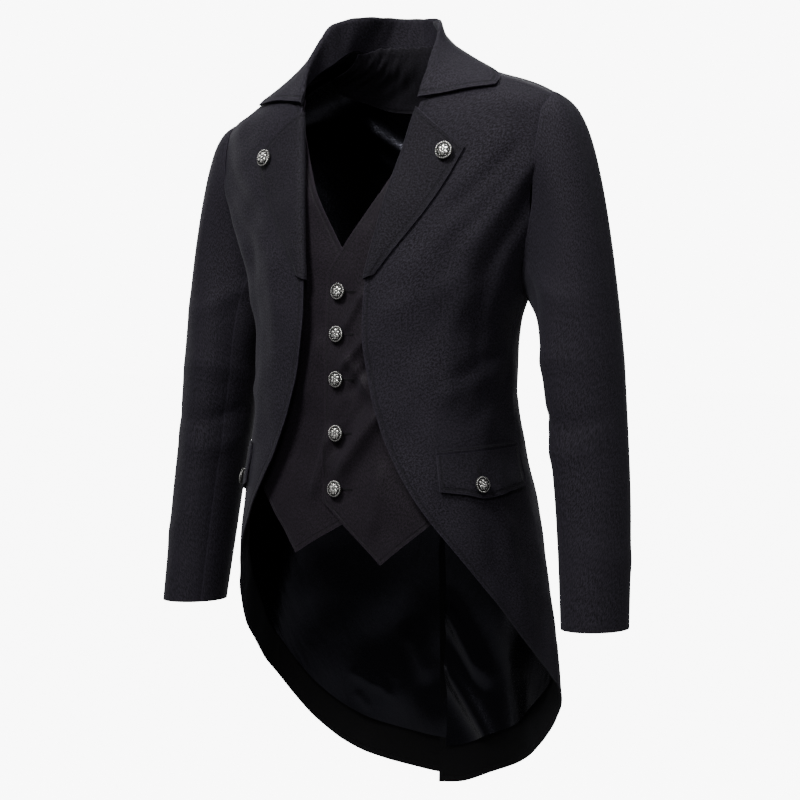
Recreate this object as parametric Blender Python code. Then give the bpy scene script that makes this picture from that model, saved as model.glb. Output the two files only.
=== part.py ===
"""Man's cutaway tailcoat with its attached mock waistcoat, worn and empty.

The cloth is laid on one worn form: a stack of level sections, each a rounded
rectangle.  A place on the form is an angle round the body (0 degrees is the
centre front, 90 the side, 180 the centre back) and a height.  Every piece is a
thin wall made from such places, pushed out or in by its layer's distance.

Metres, +X to the wearer's left, -Y to the front, +Z up.  The origin is on the
centre line, level with the side of the neck.
"""
import math

import bmesh
import bpy
import numpy as np
from mathutils import Matrix, Vector

# ---------------------------------------------------------------- cloth sizes
COAT_WALL = 0.0020
LAPEL_WALL = 0.0018
VEST_WALL = 0.0016
LINING_WALL = 0.0010
FACING_WALL = 0.0014
SEAM_GAP = 0.0004
LAYER_GAP = 0.0009
LINING_CLEAR = 0.0020

# Worn form, outer face of the coat.
# height, half width, front y, widest y, back y, squareness
SECTIONS = (
    (-0.900, 0.210, -0.135, 0.000, 0.114, 2.2),
    (-0.750, 0.202, -0.140, -0.005, 0.116, 2.2),
    (-0.650, 0.194, -0.144, -0.010, 0.114, 2.2),
    (-0.580, 0.183, -0.147, -0.012, 0.110, 2.5),
    (-0.510, 0.171, -0.146, -0.015, 0.100, 2.7),
    (-0.450, 0.161, -0.142, -0.018, 0.088, 2.6),
    (-0.390, 0.156, -0.139, -0.020, 0.080, 2.5),
    (-0.330, 0.158, -0.137, -0.020, 0.080, 2.4),
    (-0.270, 0.178, -0.132, -0.018, 0.088, 2.3),
    (-0.180, 0.215, -0.115, -0.016, 0.096, 2.1),
    (-0.113, 0.230, -0.094, -0.018, 0.092, 2.2),
    (-0.080, 0.2265, -0.086, -0.018, 0.086, 2.1),
    (-0.066, 0.216, -0.082, -0.017, 0.084, 2.05),
    (-0.057, 0.200, -0.078, -0.014, 0.081, 2.0),
    (-0.048, 0.180, -0.074, -0.012, 0.078, 2.0),
    (-0.028, 0.126, -0.062, -0.006, 0.068, 2.0),
    (-0.010, 0.082, -0.050, -0.002, 0.056, 2.0),
    (0.004, 0.065, -0.044, -0.001, 0.051, 2.0),
    (0.060, 0.044, -0.030, 0.000, 0.043, 2.0),
)

# Soft upright folds that the skirt hangs in, rising from nothing at the waist.
# angle of the fold's crest, half width in degrees, height of the fold
SKIRT_FOLDS = (
    (72.0, 15.0, 0.004),
    (104.0, 14.0, 0.006),
    (134.0, 12.0, -0.005),
    (160.0, 11.0, 0.006),
)
FOLD_START = -0.46
FOLD_FULL = -0.74

# Shoulders as worn: the left one carried a little high, the right one low.
LEFT_LIFT = 0.007
RIGHT_DROP = -0.013

# --------------------------------------------------------------- seams, edges
SHOULDER_TIP = (90.0, -0.065)
NECK_SIDE = (90.0, 0.003)
NECK_BACK = (180.0, 0.002)
SIDE_SEAM_HEM = 108.0
FRONT_HEM_START = 97.0
UNDERARM = (98.0, -0.282)
VENT_TOP = -0.52
VENT_FULL = -0.60
VENT_LAP = 3.5

# Front edge of the coat above the hem's turn: height, angle.
FRONT_EDGE = (
    (-0.715, 97.0),
    (-0.664, 77.0),
    (-0.621, 64.5),
    (-0.572, 51.5),
    (-0.520, 39.0),
    (-0.474, 30.5),
    (-0.430, 24.0),
    (-0.378, 18.5),
    (-0.330, 15.2),
    (-0.265, 13.4),
    (-0.241, 14.0),
    (-0.174, 15.6),
    (-0.112, 18.0),
    (-0.066, 22.0),
    (-0.056, 27.5),
    (-0.037, 37.5),
    (-0.026, 46.0),
    (-0.014, 60.0),
    (0.003, 90.0),
)
GORGE_HEIGHT = -0.066

# Hem of the tails: angle, height of the left one and of the right one
TAIL_HEM = (
    (90.0, -0.698, -0.698),
    (97.0, -0.714, -0.715),
    (108.0, -0.738, -0.742),
    (116.0, -0.757, -0.768),
    (126.0, -0.783, -0.800),
    (138.0, -0.809, -0.829),
    (150.0, -0.831, -0.847),
    (163.0, -0.850, -0.857),
    (176.0, -0.868, -0.861),
    (190.0, -0.873, -0.863),
)

# Armhole from the underarm up to the shoulder tip: fraction, angle, height.
ARMHOLE_FRONT = (
    (0.00, 98.0, -0.282),
    (0.08, 90.0, -0.270),
    (0.24, 80.0, -0.232),
    (0.47, 73.0, -0.178),
    (0.70, 66.5, -0.124),
    (0.86, 71.0, -0.084),
    (1.00, 90.0, -0.065),
)
ARMHOLE_BACK = (
    (0.00, 98.0, -0.282),
    (0.10, 107.0, -0.268),
    (0.30, 115.0, -0.222),
    (0.55, 118.0, -0.160),
    (0.76, 116.0, -0.112),
    (0.90, 105.0, -0.079),
    (1.00, 90.0, -0.065),
)

# -------------------------------------------------------------- lapel, collar
# Lapel rows, break to notch: fraction, roll line height, outer x, outer height
LAPEL = (
    (0.00, -0.262, 0.054, -0.257),
    (0.25, -0.215, 0.081, -0.221),
    (0.50, -0.168, 0.108, -0.184),
    (0.75, -0.121, 0.128, -0.151),
    (1.00, -0.073, 0.143, -0.120),
)
# Turn of the roll, at the middle of the cloth: along the row, out of the coat
LAPEL_TURN = (
    (0.0120, -0.0046),
    (0.0040, -0.0046),
    (-0.0014, -0.0036),
    (-0.0034, -0.0010),
    (-0.0014, 0.0022),
    (0.0040, 0.0038),
)
# Face of the lapel beyond the turn: fraction of its width, out of the coat
LAPEL_FACE = (
    (0.25, 0.0040),
    (0.50, 0.0034),
    (0.75, 0.0026),
    (1.00, 0.0020),
)
# Collar, centre back to front end: fraction along it, then the neck seam's
# angle and height, the crease's x, y and z, how much higher the right side's
# crease rolls, and the outer edge's angle and height
COLLAR = (
    (0.00, 180.0, 0.004, 0.000, 0.052, 0.041, 0.000, 180.0, -0.020),
    (0.25, 140.0, 0.004, 0.029, 0.042, 0.041, 0.001, 149.0, -0.020),
    (0.50, 97.0, 0.005, 0.047, 0.008, 0.037, 0.004, 104.0, -0.019),
    (0.70, 67.0, -0.006, 0.073, -0.026, 0.023, 0.009, 85.0, -0.029),
    (0.86, 36.5, -0.036, 0.080, -0.058, -0.022, 0.010, 70.0, -0.042),
    (1.00, 26.0, -0.060, 0.079, -0.080, -0.063, 0.000, 55.5, -0.055),
)
COLLAR_CLEAR = 0.0038
COLLAR_SEAM_STEP = 0.0018
COLLAR_SAG = 0.20
COLLAR_ROLL = 0.0022

# ------------------------------------------------------------------ waistcoat
# How far the waistcoat lies inside the coat's layers at the front: height, depth
VEST_DEPTH = (
    (-0.600, 0.012),
    (-0.500, 0.015),
    (-0.374, 0.011),
    (-0.275, 0.009),
    (-0.227, 0.005),
    (-0.158, 0.001),
    (0.010, 0.000),
)
VEST_SIDE = 74.0
VEST_LAP = -0.019
# Neckline: height, x.  It crosses the centre line at the bottom of the V.
VEST_NECKLINE = (
    (-0.253, -0.019),
    (-0.227, 0.000),
    (-0.192, 0.025),
    (-0.158, 0.048),
    (-0.105, 0.073),
    (-0.066, 0.086),
    (-0.030, 0.094),
)
# Hem of each half: x, height on the left, height on the right
VEST_HEM = (
    (-0.019, -0.512, -0.530),
    (0.062, -0.580, -0.573),
    (0.115, -0.540, -0.510),
    (0.150, -0.510, -0.465),
)

# --------------------------------------------------------------------- pocket
# Flap: fraction across, angle, top, bottom
FLAP = (
    (0.00, 45.5, -0.456, -0.496),
    (0.25, 55.0, -0.455, -0.500),
    (0.48, 66.0, -0.454, -0.506),
    (0.75, 82.0, -0.453, -0.501),
    (1.00, 98.0, -0.452, -0.497),
)
FLAP_WALL = 0.0018
WELT_HEIGHT = 0.006
WELT_WALL = 0.0012

# -------------------------------------------------------------------- sleeve
# Sleeve sections: height, centre x, centre y, half width, half depth
SLEEVE = (
    (-0.360, 0.2510, -0.010, 0.0440, 0.0530),
    (-0.430, 0.2590, -0.012, 0.0420, 0.0500),
    (-0.516, 0.2690, -0.018, 0.0395, 0.0475),
    (-0.590, 0.2750, -0.025, 0.0375, 0.0450),
    (-0.646, 0.2790, -0.031, 0.0360, 0.0430),
)
SLEEVE_ROUND = 20
FORE_SEAM = 2
HIND_SEAM = 16
CAP_STEPS = (0.0, 0.05, 0.14, 0.27, 0.42, 0.58, 0.74, 0.88, 1.0)
ARM_ROWS = 6

# ------------------------------------------------------------------- buttons
# name, height on the waistcoat's centre line
VEST_BUTTONS = (
    ("vest_button_1", -0.275),
    ("vest_button_2", -0.323),
    ("vest_button_3", -0.374),
    ("vest_button_4", -0.434),
    ("vest_button_5", -0.496),
)
LAPEL_BUTTON = (0.122, -0.124)
FLAP_BUTTON = (63.0, -0.491)
BUTTON_RADIUS = 0.0092
LAPEL_BUTTON_RADIUS = 0.0100
# Turned profile of a shank button of radius 1: radius, height
BUTTON_PROFILE = (
    (0.24, 0.00),
    (0.24, 0.26),
    (0.92, 0.28),
    (1.00, 0.38),
    (0.88, 0.50),
    (0.52, 0.66),
)
BUTTON_TOP = 0.73
BUTTON_SIDES = 12

# ------------------------------------------------------------------- colours
COLOURS = {
    "coat_cloth": ((0.012, 0.012, 0.015), 0.85, 0.0),
    "vest_cloth": ((0.014, 0.012, 0.014), 0.85, 0.0),
    "satin": ((0.006, 0.006, 0.008), 0.35, 0.0),
    "silver": ((0.45, 0.44, 0.42), 0.35, 1.0),
}


# =============================================================== curve helpers
def smooth(table, at):
    """Columns of a table at one value of its first column, with no overshoot."""
    rows = np.array(table, dtype=float)
    knots, values = rows[:, 0], rows[:, 1:]
    at = min(max(at, knots[0]), knots[-1])
    steps = np.diff(knots)
    slopes = np.diff(values, axis=0) / steps[:, None]
    tangents = np.zeros_like(values)
    tangents[0], tangents[-1] = slopes[0], slopes[-1]
    for i in range(1, len(knots) - 1):
        before, after = slopes[i - 1], slopes[i]
        same_way = before * after > 0
        weights = (2 * steps[i] + steps[i - 1], steps[i] + 2 * steps[i - 1])
        safe_before = np.where(same_way, before, 1.0)
        safe_after = np.where(same_way, after, 1.0)
        mean = sum(weights) / (weights[0] / safe_before + weights[1] / safe_after)
        tangents[i] = np.where(same_way, mean, 0.0)
    i = min(int(np.searchsorted(knots, at, side="right")) - 1, len(knots) - 2)
    return hermite(values[i], tangents[i] * steps[i], values[i + 1],
                   tangents[i + 1] * steps[i], (at - knots[i]) / steps[i])


def hermite(start, leave, end, arrive, t):
    """Cubic from start to end with the given end tangents."""
    return ((2 * t ** 3 - 3 * t ** 2 + 1) * start + (t ** 3 - 2 * t ** 2 + t) * leave
            + (3 * t ** 2 - 2 * t ** 3) * end + (t ** 3 - t ** 2) * arrive)


def ease(low, high, value):
    """0 below low, 1 above high and a smooth step between."""
    t = min(max((value - low) / (high - low), 0.0), 1.0)
    return t * t * (3 - 2 * t)


def mix(a, b, t):
    return a + (b - a) * t


def fractions(*spans):
    """Fractions from 0 to 1 as (end, count) spans, each cut evenly."""
    cuts, start = [0.0], 0.0
    for end, count in spans:
        cuts += [mix(start, end, (k + 1) / count) for k in range(count)]
        start = end
    return cuts


# ================================================================== worn form
def drape(angle, height):
    """How far the skirt's folds push the form out."""
    grow = ease(-FOLD_START, -FOLD_FULL, -height)
    if grow == 0.0:
        return 0.0
    turn = abs((angle + 180.0) % 360.0 - 180.0)
    return grow * sum(rise * math.exp(-((turn - crest) / half) ** 2)
                      for crest, half, rise in SKIRT_FOLDS)


def form(angle, height):
    """Point of the worn form."""
    width, front, widest, back, squareness = smooth(SECTIONS, height)
    s, c = math.sin(math.radians(angle)), math.cos(math.radians(angle))
    reach = (abs(s) ** squareness + abs(c) ** squareness) ** (-1.0 / squareness)
    depth = widest - front if c > 0 else back - widest
    radius = reach * (1.0 + drape(angle, height) / 0.15)
    return np.array([width * radius * s, widest - depth * radius * c, height])


def outward(angle, height):
    """Unit normal of the worn form."""
    step = 0.6
    rise = 0.0015
    round_it = form(angle + step, height) - form(angle - step, height)
    up_it = form(angle, height + rise) - form(angle, height - rise)
    normal = np.cross(round_it, up_it)
    return normal / np.linalg.norm(normal)


def on_form(angle, height, out=0.0):
    """Point at a distance out of the coat's outer face."""
    return form(angle, height) + outward(angle, height) * out


def angle_at(x, height):
    """Angle of the front's point that lies at x."""
    width, _, _, _, squareness = smooth(SECTIONS, height)
    across = min(abs(x) / width, 0.999)
    ahead = (1.0 - across ** squareness) ** (1.0 / squareness)
    return math.copysign(math.degrees(math.atan2(across, ahead)), x)


def at_x(x, height):
    return np.array([angle_at(x, height), height])


def clear_of_form(point, distance):
    """The point, moved out along the form's slope until it is clear of it."""
    def depth(p):
        width, front, widest, back, squareness = smooth(SECTIONS, p[2])
        across = abs(p[0]) / width
        along = (widest - p[1]) / (widest - front) if p[1] < widest else (p[1] - widest) / (back - widest)
        return (across ** squareness + along ** squareness) ** (1.0 / squareness) - 1.0

    step = 0.0005
    for _ in range(6):
        value = depth(point)
        slope = np.array([(depth(point + step * axis) - value) / step for axis in np.eye(3)])
        size = np.linalg.norm(slope)
        short = distance - value / size
        if short <= 0.0:
            break
        point = point + slope / size * short
    return point


def settle(point):
    """Carry the left shoulder and sleeve a little high and the right ones low."""
    x, _, z = point
    share = ease(0.10, 0.22, abs(x)) * mix(0.45, 1.0, ease(-0.65, -0.10, z))
    lift = LEFT_LIFT if x > 0 else RIGHT_DROP
    return np.array([x, point[1], z + lift * share])


# ================================================================ mesh helpers
def material(name):
    if name in bpy.data.materials:
        return bpy.data.materials[name]
    colour, roughness, metallic = COLOURS[name]
    made = bpy.data.materials.new(name)
    made.use_nodes = True
    shader = made.node_tree.nodes["Principled BSDF"]
    shader.inputs["Base Color"].default_value = (*colour, 1.0)
    shader.inputs["Roughness"].default_value = roughness
    shader.inputs["Metallic"].default_value = metallic
    made.diffuse_color = (*colour, 1.0)
    return made


def finish_object(name, mesh_edit, finish):
    bmesh.ops.recalc_face_normals(mesh_edit, faces=mesh_edit.faces)
    mesh = bpy.data.meshes.new(name)
    mesh_edit.to_mesh(mesh)
    mesh_edit.free()
    mesh.shade_smooth()
    mesh.set_sharp_from_angle(angle=math.radians(50))
    mesh.materials.append(material(finish))
    made = bpy.data.objects.new(name, mesh)
    bpy.context.scene.collection.objects.link(made)
    return made


def cloth(name, outer, inner, side, finish):
    """Closed wall between two grids of points, drawn for the left side."""
    edit = bmesh.new()
    flip = np.array([side, 1, 1])
    outer = [[edit.verts.new(settle(p * flip)) for p in row] for row in outer]
    inner = [[edit.verts.new(settle(p * flip)) for p in row] for row in inner]
    rows, columns = len(outer), len(outer[0])
    for i in range(rows - 1):
        for j in range(columns - 1):
            rising = (outer[i][j].co - outer[i + 1][j + 1].co).length
            falling = (outer[i][j + 1].co - outer[i + 1][j].co).length
            cut = (0, 2) if rising < falling else (1, 3)
            for grid, turn in ((outer, 1), (inner, -1)):
                corners = (grid[i][j], grid[i][j + 1], grid[i + 1][j + 1], grid[i + 1][j])
                for start in cut:
                    half = (corners[start], corners[(start + 1) % 4], corners[(start + 2) % 4])
                    edit.faces.new(half[::turn])
    border = ([(0, j) for j in range(columns)] + [(i, columns - 1) for i in range(1, rows)]
              + [(rows - 1, j) for j in range(columns - 2, -1, -1)]
              + [(i, 0) for i in range(rows - 2, 0, -1)])
    for (i, j), (k, m) in zip(border, border[1:] + border[:1]):
        edit.faces.new((outer[k][m], outer[i][j], inner[i][j], inner[k][m]))
    return finish_object(name, edit, finish)


def panel(name, place, columns, rows, out, wall, side, finish):
    """Wall on the worn form.  place(u, v) is an angle and height, out its layer."""
    places = [[place(u, v) for u in columns] for v in rows]
    outer = [[on_form(a, z, out(a, z)) for a, z in row] for row in places]
    inner = [[on_form(a, z, out(a, z) - wall) for a, z in row] for row in places]
    return cloth(name, outer, inner, side, finish)


def thick(name, middle, wall, side, finish):
    """Wall of a given thickness about a grid of points at its middle."""
    grid = np.array(middle)
    along = np.gradient(grid, axis=0)
    across = np.gradient(grid, axis=1)
    normals = np.cross(across, along)
    normals /= np.linalg.norm(normals, axis=2, keepdims=True)
    return cloth(name, grid + normals * wall / 2, grid - normals * wall / 2, side, finish)


def patch(bottom, top, left, right, top_pull=1.0):
    """Place inside four border curves, each a function of its own fraction.

    A row runs straight from the left border to the right one, and takes on the
    bend of the bottom or top border as it nears it, late if top_pull is high.
    """
    def place(u, v):
        low_bend = bottom(u) - mix(bottom(0.0), bottom(1.0), u)
        high_bend = top(u) - mix(top(0.0), top(1.0), u)
        return mix(left(v), right(v), u) + (1.0 - v) * low_bend + v ** top_pull * high_bend
    return place


def layer(distance):
    """An even layer, measured out of the coat's outer face."""
    return lambda angle, height: distance


# ================================================================ coat panels
SIDE_ROWS = 14
ARMHOLE_ROWS = 10
UNDERARM_V = SIDE_ROWS / (SIDE_ROWS + ARMHOLE_ROWS)
PANEL_ROWS = fractions((UNDERARM_V, SIDE_ROWS), (1.0, ARMHOLE_ROWS))
SEAM_ANGLE = 0.14
RIDGE_ANGLE = 0.30


def hem(angle, side):
    left, right = smooth(TAIL_HEM, angle)
    return left if side > 0 else right


def side_line(v, armhole, shift, side):
    """Side seam and then the armhole, as a fraction up the panel."""
    if v <= UNDERARM_V:
        t = v / UNDERARM_V
        angle = mix(SIDE_SEAM_HEM, UNDERARM[0], t)
        return np.array([angle + shift, mix(hem(SIDE_SEAM_HEM, side), UNDERARM[1], t)])
    t = (v - UNDERARM_V) / (1.0 - UNDERARM_V)
    angle, height = smooth(armhole, t)
    closing = mix(shift, math.copysign(RIDGE_ANGLE, shift), t)
    return np.array([angle + closing, height])


def front_edge(v):
    """Cutaway edge, then the roll line, then the neck up to the shoulder."""
    gorge_v = mix(UNDERARM_V, 1.0, 0.7)
    if v <= UNDERARM_V:
        height = mix(FRONT_EDGE[0][0], UNDERARM[1], v / UNDERARM_V)
    elif v <= gorge_v:
        height = mix(UNDERARM[1], GORGE_HEIGHT, (v - UNDERARM_V) / (gorge_v - UNDERARM_V))
    else:
        height = mix(GORGE_HEIGHT, NECK_SIDE[1], (v - gorge_v) / (1.0 - gorge_v))
    return np.array([smooth(FRONT_EDGE, height)[0] - RIDGE_ANGLE * ease(0.9, 1.0, v), height])


def build_front(side_name, side):
    def bottom(u):
        angle = mix(FRONT_HEM_START, SIDE_SEAM_HEM - SEAM_ANGLE, u)
        return np.array([angle, hem(angle, side)])

    def top(u):
        return np.array([90.0 - RIDGE_ANGLE, mix(NECK_SIDE[1], SHOULDER_TIP[1], u)])

    place = patch(bottom, top, front_edge, lambda v: side_line(v, ARMHOLE_FRONT, -SEAM_ANGLE, side))
    panel("front_" + side_name, place, fractions((1.0, 12)), PANEL_ROWS,
          layer(0.0), COAT_WALL, side, "coat_cloth")


def tuck_for(side):
    """The left tail laps inside the right one below the vent's top."""
    depth = COAT_WALL + LINING_WALL + 2 * LINING_CLEAR if side > 0 else 0.0

    def tuck(angle, height):
        return -depth * ease(146.0, 172.0, angle) * ease(-VENT_TOP - 0.07, -VENT_TOP, -height)
    return tuck


def centre_back(v, side, low):
    """Centre back seam, widened below the vent's top on the left tail."""
    t = v / UNDERARM_V
    height = mix(low, -0.290, t) if t < 1.0 else mix(-0.290, NECK_BACK[1], (v - UNDERARM_V) / (1 - UNDERARM_V))
    lap = VENT_LAP * ease(-VENT_TOP, -VENT_FULL, -height) if side > 0 else 0.0
    return np.array([180.0 - SEAM_ANGLE + lap, height])


def build_back(side_name, side):
    lap = VENT_LAP if side > 0 else 0.0
    shoulder_part = 0.55

    def bottom(u):
        angle = mix(SIDE_SEAM_HEM + SEAM_ANGLE, 180.0 - SEAM_ANGLE + lap, u)
        return np.array([angle, hem(angle, side)])

    def top(u):
        if u <= shoulder_part:
            return np.array([90.0 + RIDGE_ANGLE, mix(SHOULDER_TIP[1], NECK_SIDE[1], u / shoulder_part)])
        t = (u - shoulder_part) / (1.0 - shoulder_part)
        return np.array([mix(90.0 + RIDGE_ANGLE, 180.0 - SEAM_ANGLE, t), mix(NECK_SIDE[1], NECK_BACK[1], t)])

    place = patch(bottom, top, lambda v: side_line(v, ARMHOLE_BACK, SEAM_ANGLE, side),
                  lambda v: centre_back(v, side, bottom(1.0)[1]), 5.0)
    panel("back_" + side_name, place, fractions((shoulder_part, 6), (1.0, 7)), PANEL_ROWS,
          tuck_for(side), COAT_WALL, side, "coat_cloth")


# ==================================================================== lining
LINING_RISE = 0.045
# Lining's free border, up from the hem and round the armhole: fraction, angle, height
LINING_EDGE = (
    (0.00, 94.0, -0.662),
    (0.20, 71.0, -0.568),
    (0.38, 62.0, -0.450),
    (0.54, 74.0, -0.330),
    (0.62, 98.0, -0.302),
    (0.69, 110.5, -0.275),
    (0.77, 118.5, -0.224),
    (0.86, 122.0, -0.162),
    (0.93, 120.5, -0.122),
    (0.97, 116.0, -0.102),
    (1.00, 109.0, -0.090),
)
# Lower edge of the back neck facing: angle, height
NECK_FACING_START = 101.0
NECK_FACING_EDGE = (
    (101.0, -0.020),
    (114.0, -0.025),
    (130.0, -0.034),
    (149.0, -0.046),
    (165.0, -0.060),
    (180.0, -0.066),
)
NECK_FACING_GAP = 0.0008
LINING_OUT = -(COAT_WALL + LINING_CLEAR)


def lining_out(height):
    """The lining hangs a little freer under the shoulders' turn."""
    return LINING_OUT - 0.0028 * ease(-0.12, -0.05, height)


def build_lining(side_name, side):
    last = 179.4
    tuck = tuck_for(side)
    shoulder_part = 0.4
    start_angle, start_height = LINING_EDGE[0][1:]

    def bottom(u):
        angle = mix(start_angle, last, u)
        rise = start_height - hem(start_angle, side)
        return np.array([angle, hem(angle, side) + mix(rise, LINING_RISE, ease(0.0, 0.15, u))])

    def top(u):
        first = LINING_EDGE[-1]
        if u <= shoulder_part:
            t = u / shoulder_part
            start = NECK_FACING_EDGE[0][1] - NECK_FACING_GAP
            return np.array([mix(first[1], NECK_FACING_START, t), mix(first[2], start, t)])
        angle = mix(NECK_FACING_START, last, (u - shoulder_part) / (1.0 - shoulder_part))
        return np.array([angle, smooth(NECK_FACING_EDGE, angle)[0] - NECK_FACING_GAP])

    def centre(v):
        return np.array([last, mix(bottom(1.0)[1], top(1.0)[1], v)])

    place = patch(bottom, top, lambda v: smooth(LINING_EDGE, v), centre, 5.0)
    panel("lining_" + side_name, place, fractions((shoulder_part, 4), (1.0, 6)),
          fractions((0.54, 10), (1.0, 10)),
          lambda a, z: lining_out(z) + tuck(a, z), LINING_WALL, side, "satin")


def build_neck_facing():
    def place(u, v):
        turn = mix(NECK_FACING_START, 360.0 - NECK_FACING_START, u)
        low = smooth(NECK_FACING_EDGE, min(turn, 360.0 - turn))[0]
        return np.array([turn, mix(low, -0.001, v)])

    panel("neck_facing", place, fractions((1.0, 12)), fractions((1.0, 4)),
          lambda a, z: lining_out(z), FACING_WALL, 1, "coat_cloth")


# ============================================================= lapel, collar
def build_lapel(side_name, side):
    middle = []
    for v in fractions((1.0, 11)):
        roll_height, outer_x, outer_height = smooth(LAPEL, v)
        roll_x = form(smooth(FRONT_EDGE, roll_height)[0], roll_height)[0]
        row = np.array([outer_x - roll_x, outer_height - roll_height])
        width = np.linalg.norm(row)
        row = row / width
        turn = min(1.0, width / 0.016)
        profile = [(along * turn, out) for along, out in LAPEL_TURN]
        start = LAPEL_TURN[-1][0] * turn
        profile += [(mix(start, width, part), out) for part, out in LAPEL_FACE]
        points = []
        for along, out in profile:
            height = roll_height + row[1] * along
            points.append(on_form(angle_at(roll_x + row[0] * along, height), height, out))
        middle.append(points)
    thick("lapel_" + side_name, middle, LAPEL_WALL, side, "coat_cloth")


def collar_row(fraction):
    """Middle of the collar's cloth from the neck seam over the crease to its edge."""
    side = -1.0 if fraction < 0.0 else 1.0
    seam_angle, seam_height, x, y, z, higher, edge_angle, edge_height = smooth(COLLAR, abs(fraction))
    crease = np.array([x, y, z + higher * (side < 0)])
    seam = on_form(seam_angle, seam_height)
    seam = seam + (crease - seam) / np.linalg.norm(crease - seam) * COLLAR_SEAM_STEP
    edge = on_form(edge_angle, edge_height, COLLAR_CLEAR)
    rise = crease - seam
    height = np.linalg.norm(rise)
    rise /= height
    flat_end = ease(0.70, 0.90, abs(fraction))
    over = mix((edge - crease) / np.linalg.norm(edge - crease), outward(seam_angle, seam_height), flat_end)
    over -= rise * np.dot(over, rise)
    over /= np.linalg.norm(over)
    points = [seam, seam + rise * height * 0.5]
    for turn in (0.0, 60.0, 120.0, 180.0):
        c, s = math.cos(math.radians(turn)), math.sin(math.radians(turn))
        points.append(crease + COLLAR_ROLL * (rise * (s - 1.0) + over * (1.0 - c)))
    start = points[-1]
    fall = edge - start
    away = fall * np.array([1.0, 1.0, 0.0])
    sag = -COLLAR_SAG * (1.0 - ease(0.70, 1.0, abs(fraction)))
    for part in (0.3, 0.62):
        bend = away * sag * math.sin(math.pi * part)
        points.append(clear_of_form(start + fall * part + bend, COLLAR_CLEAR + 0.0008))
    points.append(edge)
    return [p * np.array([side, 1.0, 1.0]) for p in points]


def build_collar():
    half = fractions((1.0, 13))
    whole = [-f for f in half[:0:-1]] + half
    thick("collar", [collar_row(f) for f in whole], LAPEL_WALL, 1, "coat_cloth")


# ================================================================== waistcoat
VEST_OUT = -(COAT_WALL + LAPEL_WALL + 0.0018)
VEST_STEP = VEST_WALL + LAYER_GAP


def build_vest(side_name, side):
    """Half of the waistcoat's front; the left one laps over the right."""
    column = 0 if side > 0 else 1
    hem_rows = [(row[0], row[1 + column]) for row in VEST_HEM]
    base = VEST_OUT if side > 0 else VEST_OUT - VEST_STEP
    neck_v = 0.46
    point_u = 0.45

    def bottom(u):
        if u <= point_u:
            x = mix(VEST_LAP, VEST_HEM[1][0], u / point_u)
        else:
            x = mix(VEST_HEM[1][0], VEST_HEM[-1][0], (u - point_u) / (1.0 - point_u))
        before = max(k for k in range(len(hem_rows) - 1) if x >= hem_rows[k][0] - 1e-9)
        (x0, z0), (x1, z1) = hem_rows[before], hem_rows[before + 1]
        return at_x(x, mix(z0, z1, (x - x0) / (x1 - x0)))

    def centre(v):
        if v <= neck_v:
            return at_x(VEST_LAP, mix(hem_rows[0][1], VEST_NECKLINE[0][0], v / neck_v))
        t = (v - neck_v) / (1.0 - neck_v)
        height = mix(VEST_NECKLINE[0][0], VEST_NECKLINE[-1][0], t)
        low = at_x(smooth(VEST_NECKLINE, height)[0], height)
        return mix(low, np.array([82.0, -0.018]), ease(0.9, 1.0, t))

    def armhole_side(v):
        start = bottom(1.0)
        if v <= UNDERARM_V:
            t = v / UNDERARM_V
            return mix(start, np.array([VEST_SIDE, -0.270]), t)
        t = (v - UNDERARM_V) / (1.0 - UNDERARM_V)
        return mix(np.array([VEST_SIDE, -0.270]), np.array([60.0, -0.110]), min(t / 0.7, 1.0)) \
            if t < 0.7 else mix(np.array([60.0, -0.110]), np.array([82.0, -0.044]), (t - 0.7) / 0.3)

    def top(u):
        return np.array([82.0, mix(-0.018, -0.044, u)])

    def out(angle, height):
        depth = smooth(VEST_DEPTH, height)[0]
        return base - depth * (1.0 - ease(14.0, 66.0, abs(angle)))

    place = patch(bottom, top, centre, armhole_side)
    rows = fractions((neck_v, 9), (UNDERARM_V, 3), (1.0, 10))
    panel("vest_" + side_name, place, fractions((point_u, 5), (1.0, 5)), rows,
          out, VEST_WALL, side, "vest_cloth")


# ===================================================================== pocket
def build_pocket(side_name, side):
    def flap_place(u, v):
        angle, high, low = smooth(FLAP, u)
        return np.array([angle, mix(low, high, v)])

    def flap_out(angle, height):
        hang = ease(0.455, 0.500, -height)
        return LAYER_GAP + FLAP_WALL + 0.0016 * hang

    panel("flap_" + side_name, flap_place, fractions((0.48, 5), (1.0, 6)), fractions((1.0, 3)),
          flap_out, FLAP_WALL, side, "coat_cloth")

    def welt_place(u, v):
        angle, high, _ = smooth(FLAP, u)
        return np.array([angle, high + SEAM_GAP + WELT_HEIGHT * v])

    panel("welt_" + side_name, welt_place, fractions((1.0, 10)), (0.0, 1.0),
          layer(LAYER_GAP + WELT_WALL), WELT_WALL, side, "coat_cloth")


# ===================================================================== sleeve
def armhole_ring():
    """The armhole's places from the underarm up the front and down the back."""
    half = SLEEVE_ROUND // 2
    front = [smooth(ARMHOLE_FRONT, k / half) for k in range(half + 1)]
    back = [smooth(ARMHOLE_BACK, k / half) for k in range(half - 1, -1, -1)]
    return front + back


def cap_start(places, k):
    """Where the sleeve leaves the armhole: just off the panel's edge."""
    count = len(places)
    angle, height = places[k]
    here = on_form(angle, height)
    after = on_form(*places[(k + 1) % count]) if k + 1 < count else on_form(*places[1])
    before = on_form(*places[k - 1]) if k > 0 else on_form(*places[count - 2])
    run = after - before
    out = outward(angle, height)
    into_hole = np.cross(run, out)
    into_hole /= np.linalg.norm(into_hole)
    hole_middle = np.array([0.215, 0.0, -0.17])
    if np.dot(into_hole, hole_middle - here) < 0:
        into_hole = -into_hole
    return here + out * 0.0012 + into_hole * SEAM_GAP


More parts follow.
